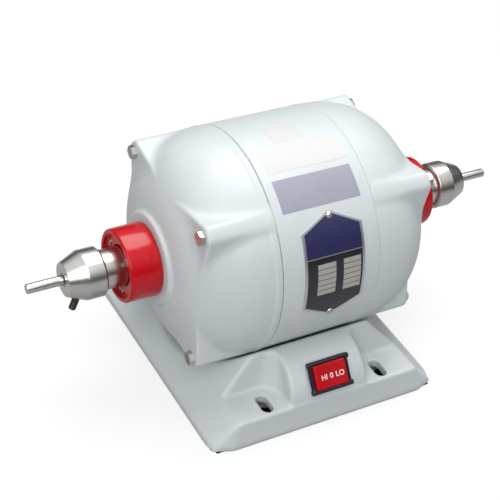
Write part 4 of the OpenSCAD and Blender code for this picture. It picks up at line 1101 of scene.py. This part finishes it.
# ---------------------------------------------------------------- spindle ends


@dataclass
class SpindleEnd:
    """One end of the spindle: release knob, chuck, pin and clamp screw."""

    side: Side
    knob_x: tuple[float, float] = (91.3, 112.7)
    knob_r: tuple[float, float] = (24.15, 23.95)
    knob_bore: float = 20.72
    recess: float = 3.2
    web_x: float = 104.1
    chuck_x: float = 104.2
    taper_r: tuple[float, float] = (8.45, 7.05)
    taper_end_x: float = 132.2
    neck_r: float = 12.8
    neck_end_x: float = 124.2
    nose_r: float = 16.0
    nose_cyl: float = 11.8
    nose_cone: float = 12.0
    face_r: float = 11.0
    mouth_r: float = 4.375
    shank_r: float = 2.7
    pin_back_x: float = 133.2
    pin_tip_x: float = 172.0
    screw_r: float = 2.5
    screw_share: float = 0.29
    screw_out: float = 9.0
    screw_tilt_deg: float = 25.0
    thread_pitch: float = 1.0
    thread_depth: float = 0.45
    socket_r: float = 1.45
    socket_depth: float = 2.0

    @property
    def pin_r(self) -> float:
        """Radius of the pin: 6.35 mm across on the left and 6 mm on the right."""
        return 3.175 if self.side is Side.LEFT else 3.0

    @property
    def screw_turn_deg(self) -> float:
        """Turn of the clamp screw about the spindle: 0 points to the back and 90 up."""
        return -98.0 if self.side is Side.LEFT else -42.0

    def _name(self, own: str) -> str:
        """The name of a piece or body of this end: its side in front of its own name."""
        return f"{self.side.word}_{own}"

    def _turned(self, piece: str, corners: list[tuple[float, float, float]], finish: Finish, body: str,
                node: str) -> None:
        """Turns a rounded profile into a piece that stands for a CAD node."""
        points, quads = turn_profile(round_corners(corners), self.side)
        made = put_mesh(self._name(piece), points, quads, finish, self._name(body), merge=True,
                        crease_deg=50.0)
        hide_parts(f"{self.side.word}_{node}")

    def knob(self) -> None:
        """Makes the red knob: a cup with a rounded front edge and a recessed face."""
        (x0, x1), (r0, r1) = self.knob_x, self.knob_r
        face = x1 - self.recess
        self._turned("knob_moulding", [
            (self.knob_bore, x0, 0.0), (r0, x0, 0.8), (r1, x1, 1.4), (20.95, x1, 0.6), (20.4, face, 0.5),
            (self.neck_r + 0.7, face, 0.4), (self.neck_r + 0.6, self.web_x, 0.0),
            (self.knob_bore, self.web_x, 0.0),
        ], RED_PLASTIC, "knob", "release_knob")

    def chuck(self) -> None:
        """Makes the polished chuck: a plain neck, a groove, and a nose that tapers to a flat face."""
        shoulder = self.neck_end_x + self.nose_cyl
        face = shoulder + self.nose_cone
        groove, bore = self.neck_end_x - 0.5, self.shank_r + 0.05
        self._turned("chuck_turning", [
            (self.taper_r[0], self.chuck_x, 0.2), (self.neck_r, self.chuck_x, 0.5),
            (self.neck_r, groove, 0.15), (self.nose_r - 1.6, groove, 0.3),
            (self.nose_r, self.neck_end_x + 0.9, 0.8),
            (self.nose_r, shoulder, 0.5), (self.face_r, face, 0.5), (self.mouth_r, face, 0.2),
            (self.mouth_r, face - 2.0, 0.1), (bore, face - 3.0, 0.1), (bore, self.taper_end_x, 0.0),
            (self.taper_r[1], self.taper_end_x, 0.0),
        ], POLISHED_STEEL, "chuck", "chuck")

    def pin(self) -> None:
        """Makes the pin: a shank inside the chuck, a shoulder at the nose's face and a chamfered tip."""
        shoulder = self.neck_end_x + self.nose_cyl + self.nose_cone + 0.3
        self._turned("ground_pin", [
            (0.0, self.pin_back_x, 0.0), (self.shank_r, self.pin_back_x, 0.3), (self.shank_r, shoulder, 0.0),
            (self.pin_r, shoulder, 0.15), (self.pin_r, self.pin_tip_x, 0.7), (0.0, self.pin_tip_x, 0.0),
        ], POLISHED_STEEL, "pin", "chuck_pin")

    def clamp_screw(self) -> None:
        """Makes the clamp screw with its thread.

        The thread is a grid of turns and angles: the radius falls by the thread's depth in a
        triangle wave of the height plus the share of a turn, times the pitch.
        """
        shoulder = self.neck_end_x + self.nose_cyl
        at_x = shoulder + self.nose_cone * self.screw_share
        at_r = self.nose_r - (at_x - shoulder) * (self.nose_r - self.face_r) / self.nose_cone
        tilt, turn = math.radians(self.screw_tilt_deg), math.radians(self.screw_turn_deg)
        tip_r = self.screw_r * 0.4
        inner = (at_r - self.shank_r - 0.3) / math.cos(tilt) - tip_r * math.tan(tilt)
        height = np.linspace(-inner, self.screw_out, 150)[:, None]
        angle = np.linspace(0, 2 * np.pi, 40, endpoint=False)[None, :]
        wave = np.abs(((height / self.thread_pitch - angle / (2 * np.pi)) % 1.0) - 0.5) * 2
        radius = self.screw_r - self.thread_depth * wave
        # Both ends are chamfered
        radius = np.minimum(radius, tip_r + (height + inner))
        radius = np.minimum(radius, self.screw_r - 0.5 + (self.screw_out - height) * 0.8)
        # A hexagon socket in the outer end
        rim = np.full((1, 1), self.screw_out)
        floor = rim - self.socket_depth
        rings_h = np.concatenate([height, rim, floor, floor, rim * 0 - inner])
        hexagon = self.socket_r / np.cos((angle + np.pi / 6) % (np.pi / 3) - np.pi / 6)
        zero = np.zeros_like(angle)
        radius = np.concatenate([radius, hexagon, hexagon, zero, zero])
        order = np.concatenate([[len(rings_h) - 1], np.arange(len(rings_h) - 1)])
        radius, rings_h = radius[order], rings_h[order]
        a, b = radius * np.cos(angle), radius * np.sin(angle)
        h = np.broadcast_to(rings_h, radius.shape)
        # Own frame to row: the screw's axis leans from the radius towards the nose's face
        out = at_r + h * math.cos(tilt) - a * math.sin(tilt)
        x = at_x + h * math.sin(tilt) + a * math.cos(tilt)
        y = out * math.cos(turn) - b * math.sin(turn)
        z = AXIS_H + out * math.sin(turn) + b * math.cos(turn)
        points = np.stack([x * self.side.value, y, z], axis=2).reshape(-1, 3)
        quads = grid_faces(len(rings_h), angle.size, False, True)
        made = put_mesh(self._name("clamp_screw_thread"), points, quads, BLACK_STEEL, self._name("clamp"),
                        merge=True, crease_deg=35.0)
        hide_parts(f"{self.side.word}_clamp_screw")

    def build(self) -> None:
        """Makes all the pieces of this end."""
        self.knob()
        self.chuck()
        self.pin()
        self.clamp_screw()


# ---------------------------------------------------------------- carried-over nodes and setting

SLOT_FINISH: dict[str, Finish] = {
    "enamel": ENAMEL, "sheet_steel": SHEET_STEEL, "plated_steel": ZINC_STEEL, "black_steel": BLACK_STEEL,
    "rubber": RUBBER, "black_plastic": BLACK_PLASTIC, "red_plastic": RED_PLASTIC,
    "capacitor_case": CAPACITOR_CASE, "brass": BRASS, "ground_steel": GROUND_STEEL,
    "polished_steel": POLISHED_STEEL,
    "plate_aluminium": ALUMINIUM_SHEET, "cast_aluminium": CAST_ALUMINIUM, "laminations": LAMINATIONS,
    "copper": COPPER,
}


def dress_nodes(frame: dict) -> None:
    """Gives each CAD node the finish of its record slot.
    """
    slot_of = {entry["node"]: entry["material_slot"] for entry in frame["record"]["subparts"]}
    for name, node in frame["nodes"].items():
        material = SLOT_FINISH[slot_of[name]].build()
        if not node.data.materials:
            node.data.materials.append(material)
        for index in range(len(node.data.materials)):
            node.data.materials[index] = material


@dataclass
class Studio:
    """Camera, lamps, white world and pale floor."""

    camera_at: tuple[float, float, float] = (-396.0, -593.9, 628.7)
    yaw_deg: float = 32.66
    pitch_deg: float = 38.07
    roll_deg: float = 6.82
    lens: float = 97.5
    aim: tuple[float, float, float] = (0.0, 0.0, 80.0)
    floor_half: float = 3000.0
    floor_drop: float = 0.2
    fill: float = 0.36
    horizon: float = 0.06
    zenith: float = 0.9
    bounce: float = 0.38

    def camera(self) -> None:
        """Places the camera where the photograph was taken from."""
        yaw, pitch, roll = (math.radians(a) for a in (self.yaw_deg, self.pitch_deg, self.roll_deg))
        ahead = Vector((math.sin(yaw) * math.cos(pitch), math.cos(yaw) * math.cos(pitch), -math.sin(pitch)))
        level = Vector((math.cos(yaw), -math.sin(yaw), 0.0))
        upright = level.cross(ahead)
        right = math.cos(roll) * level + math.sin(roll) * upright
        up = -math.sin(roll) * level + math.cos(roll) * upright
        data = bpy.data.cameras.new("photo_camera")
        data.lens = self.lens
        data.sensor_width = 36.0
        data.clip_end = 20.0
        camera = put_in_scene("photo_camera", data)
        turn = Matrix((right, up, -ahead)).transposed().to_4x4()
        camera.matrix_world = Matrix.Translation(Vector(self.camera_at) * MM) @ turn
        bpy.context.scene.camera = camera

    def lamp(self, name: str, at: tuple[float, float, float], size: float, watts: float) -> None:
        """Adds a square soft box that points at the middle of the motor.

        Args:
            name: its name.
            at: its place, in metres.
            size: its width, in metres.
            watts: its power.
        """
        data = bpy.data.lights.new(name, "AREA")
        data.size = size
        data.energy = watts
        aim = Vector(self.aim) * MM - Vector(at)
        turn = aim.to_track_quat("-Z", "Y").to_matrix().to_4x4()
        put_in_scene(name, data).matrix_world = Matrix.Translation(Vector(at)) @ turn

    def world(self) -> None:
        """Makes the surroundings: the camera sees white, gloss sees a bright sky over a dark horizon."""
        world = bpy.data.worlds.new("studio_world")
        bpy.context.scene.world = world
        tree = empty_tree(world)
        path = add_node(tree, "ShaderNodeLightPath")
        height = add_node(tree, "ShaderNodeSeparateXYZ",
                          links={0: add_node(tree, "ShaderNodeTexCoord").outputs["Generated"]})
        sky = add_node(tree, "ShaderNodeMapRange",
                       {"interpolation_type": "SMOOTHSTEP", "From Min": 0.1, "From Max": 0.85,
                        "To Min": self.horizon, "To Max": self.zenith},
                       {0: height.outputs[2]})
        fill = add_node(tree, "ShaderNodeBackground",
                        {"Color": (0.88, 0.93, 1.0, 1.0), "Strength": self.fill})
        gloss = add_node(tree, "ShaderNodeBackground", {"Color": (0.97, 0.98, 1.0, 1.0)},
                         {"Strength": sky.outputs[0]})
        white = add_node(tree, "ShaderNodeBackground", {"Color": (1.0, 1.0, 1.0, 1.0), "Strength": 1.0})
        mirrored = add_node(tree, "ShaderNodeMixShader",
                            links={0: path.outputs["Is Glossy Ray"], 1: fill.outputs[0], 2: gloss.outputs[0]})
        seen = add_node(tree, "ShaderNodeMixShader",
                        links={0: path.outputs["Is Camera Ray"], 1: mirrored.outputs[0], 2: white.outputs[0]})
        add_node(tree, "ShaderNodeOutputWorld", links={"Surface": seen.outputs[0]})

    def floor(self) -> None:
        """Lays a wide white floor that keeps a soft shadow, with a painted shade: near-black under the hollow
        base.
        """
        half, low = self.floor_half * MM, -self.floor_drop * MM
        mesh = bpy.data.meshes.new("studio_floor")
        mesh.from_pydata([(-half, -half, low), (half, -half, low), (half, half, low), (-half, half, low)],
                         [], [(0, 1, 2, 3)])
        floor = put_in_scene("studio_floor", mesh)
        material = bpy.data.materials.new("white_paper_sweep")
        tree = empty_tree(material)
        seen = add_node(tree, "ShaderNodeLightPath").outputs["Is Camera Ray"]
        tone = mixed(tree, seen, (self.bounce, self.bounce, self.bounce, 1.0), (0.90, 0.90, 0.91, 1.0))
        glow = add_node(tree, "ShaderNodeEmission", {"Color": (1.0, 1.0, 1.0, 1.0), "Strength": 1.0})
        # Outside the base the larger of |x| and |y|, each over the base's half size, is above one
        place = add_node(tree, "ShaderNodeTexCoord").outputs["Object"]
        per_size = (1 / (BaseCasting.half_w * MM), 1 / (BaseCasting.half_d * MM), 0.0)
        scaled = add_node(tree, "ShaderNodeVectorMath", {"operation": "MULTIPLY", 1: per_size}, {0: place})
        size = add_node(tree, "ShaderNodeVectorMath", {"operation": "ABSOLUTE"}, {0: scaled.outputs[0]})
        split = add_node(tree, "ShaderNodeSeparateXYZ", links={0: size.outputs[0]})
        larger = add_node(tree, "ShaderNodeMath", {"operation": "MAXIMUM"},
                          {0: split.outputs[0], 1: split.outputs[1]})
        outside = add_node(tree, "ShaderNodeMath", {"operation": "GREATER_THAN", 1: 0.97},
                           {0: larger.outputs[0]})
        # The glow grows from near the base, where the shadow falls, to full white far away
        share_far = add_node(tree, "ShaderNodeMapRange",
                             {"From Min": 3.0, "From Max": 9.0, "To Min": 0.72, "To Max": 1.0},
                             {0: larger.outputs[0]})
        lit = add_node(tree, "ShaderNodeMath", {"operation": "MULTIPLY"},
                       {0: outside.outputs[0], 1: share_far.outputs[0]})
        # Painted shade: under the hollow base the floor is near-black, so the slots and openings look dark
        # inside
        paper_and_painted_shade = mixed(tree, outside.outputs[0], (0.01, 0.01, 0.012, 1.0), tone)
        paper = add_node(tree, "ShaderNodeBsdfDiffuse", links={"Color": paper_and_painted_shade})
        share = add_node(tree, "ShaderNodeMath", {"operation": "MULTIPLY"}, {0: lit.outputs[0], 1: seen})
        mix = add_node(tree, "ShaderNodeMixShader",
                       links={0: share.outputs[0], 1: paper.outputs[0], 2: glow.outputs[0]})
        add_node(tree, "ShaderNodeOutputMaterial", links={"Surface": mix.outputs[0]})
        mesh.materials.append(material)

    def build(self) -> None:
        """Sets up the whole studio."""
        scene = bpy.context.scene
        scene.view_settings.view_transform = "Standard"
        self.camera()
        self.lamp("key_soft_box", (-0.55, -0.95, 1.15), 1.2, 13.0)
        self.lamp("top_soft_box", (0.35, 0.4, 1.6), 1.2, 23.0)
        self.lamp("left_soft_box", (-1.4, -0.2, 0.6), 0.8, 3.0)
        self.world()
        self.floor()


def main() -> None:
    """Loads the frame, builds each sub-assembly and finishes the scene."""
    logging.basicConfig(level=logging.INFO, format="%(name)s: %(message)s")
    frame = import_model()
    dress_nodes(frame)
    Studio().build()
    BaseCasting().build()
    MotorShell().build()
    for side in Side:
        EndBell(side).build()
        SpindleEnd(side).build()
    RockerSwitch().build()


if __name__ == "__main__":
    main()
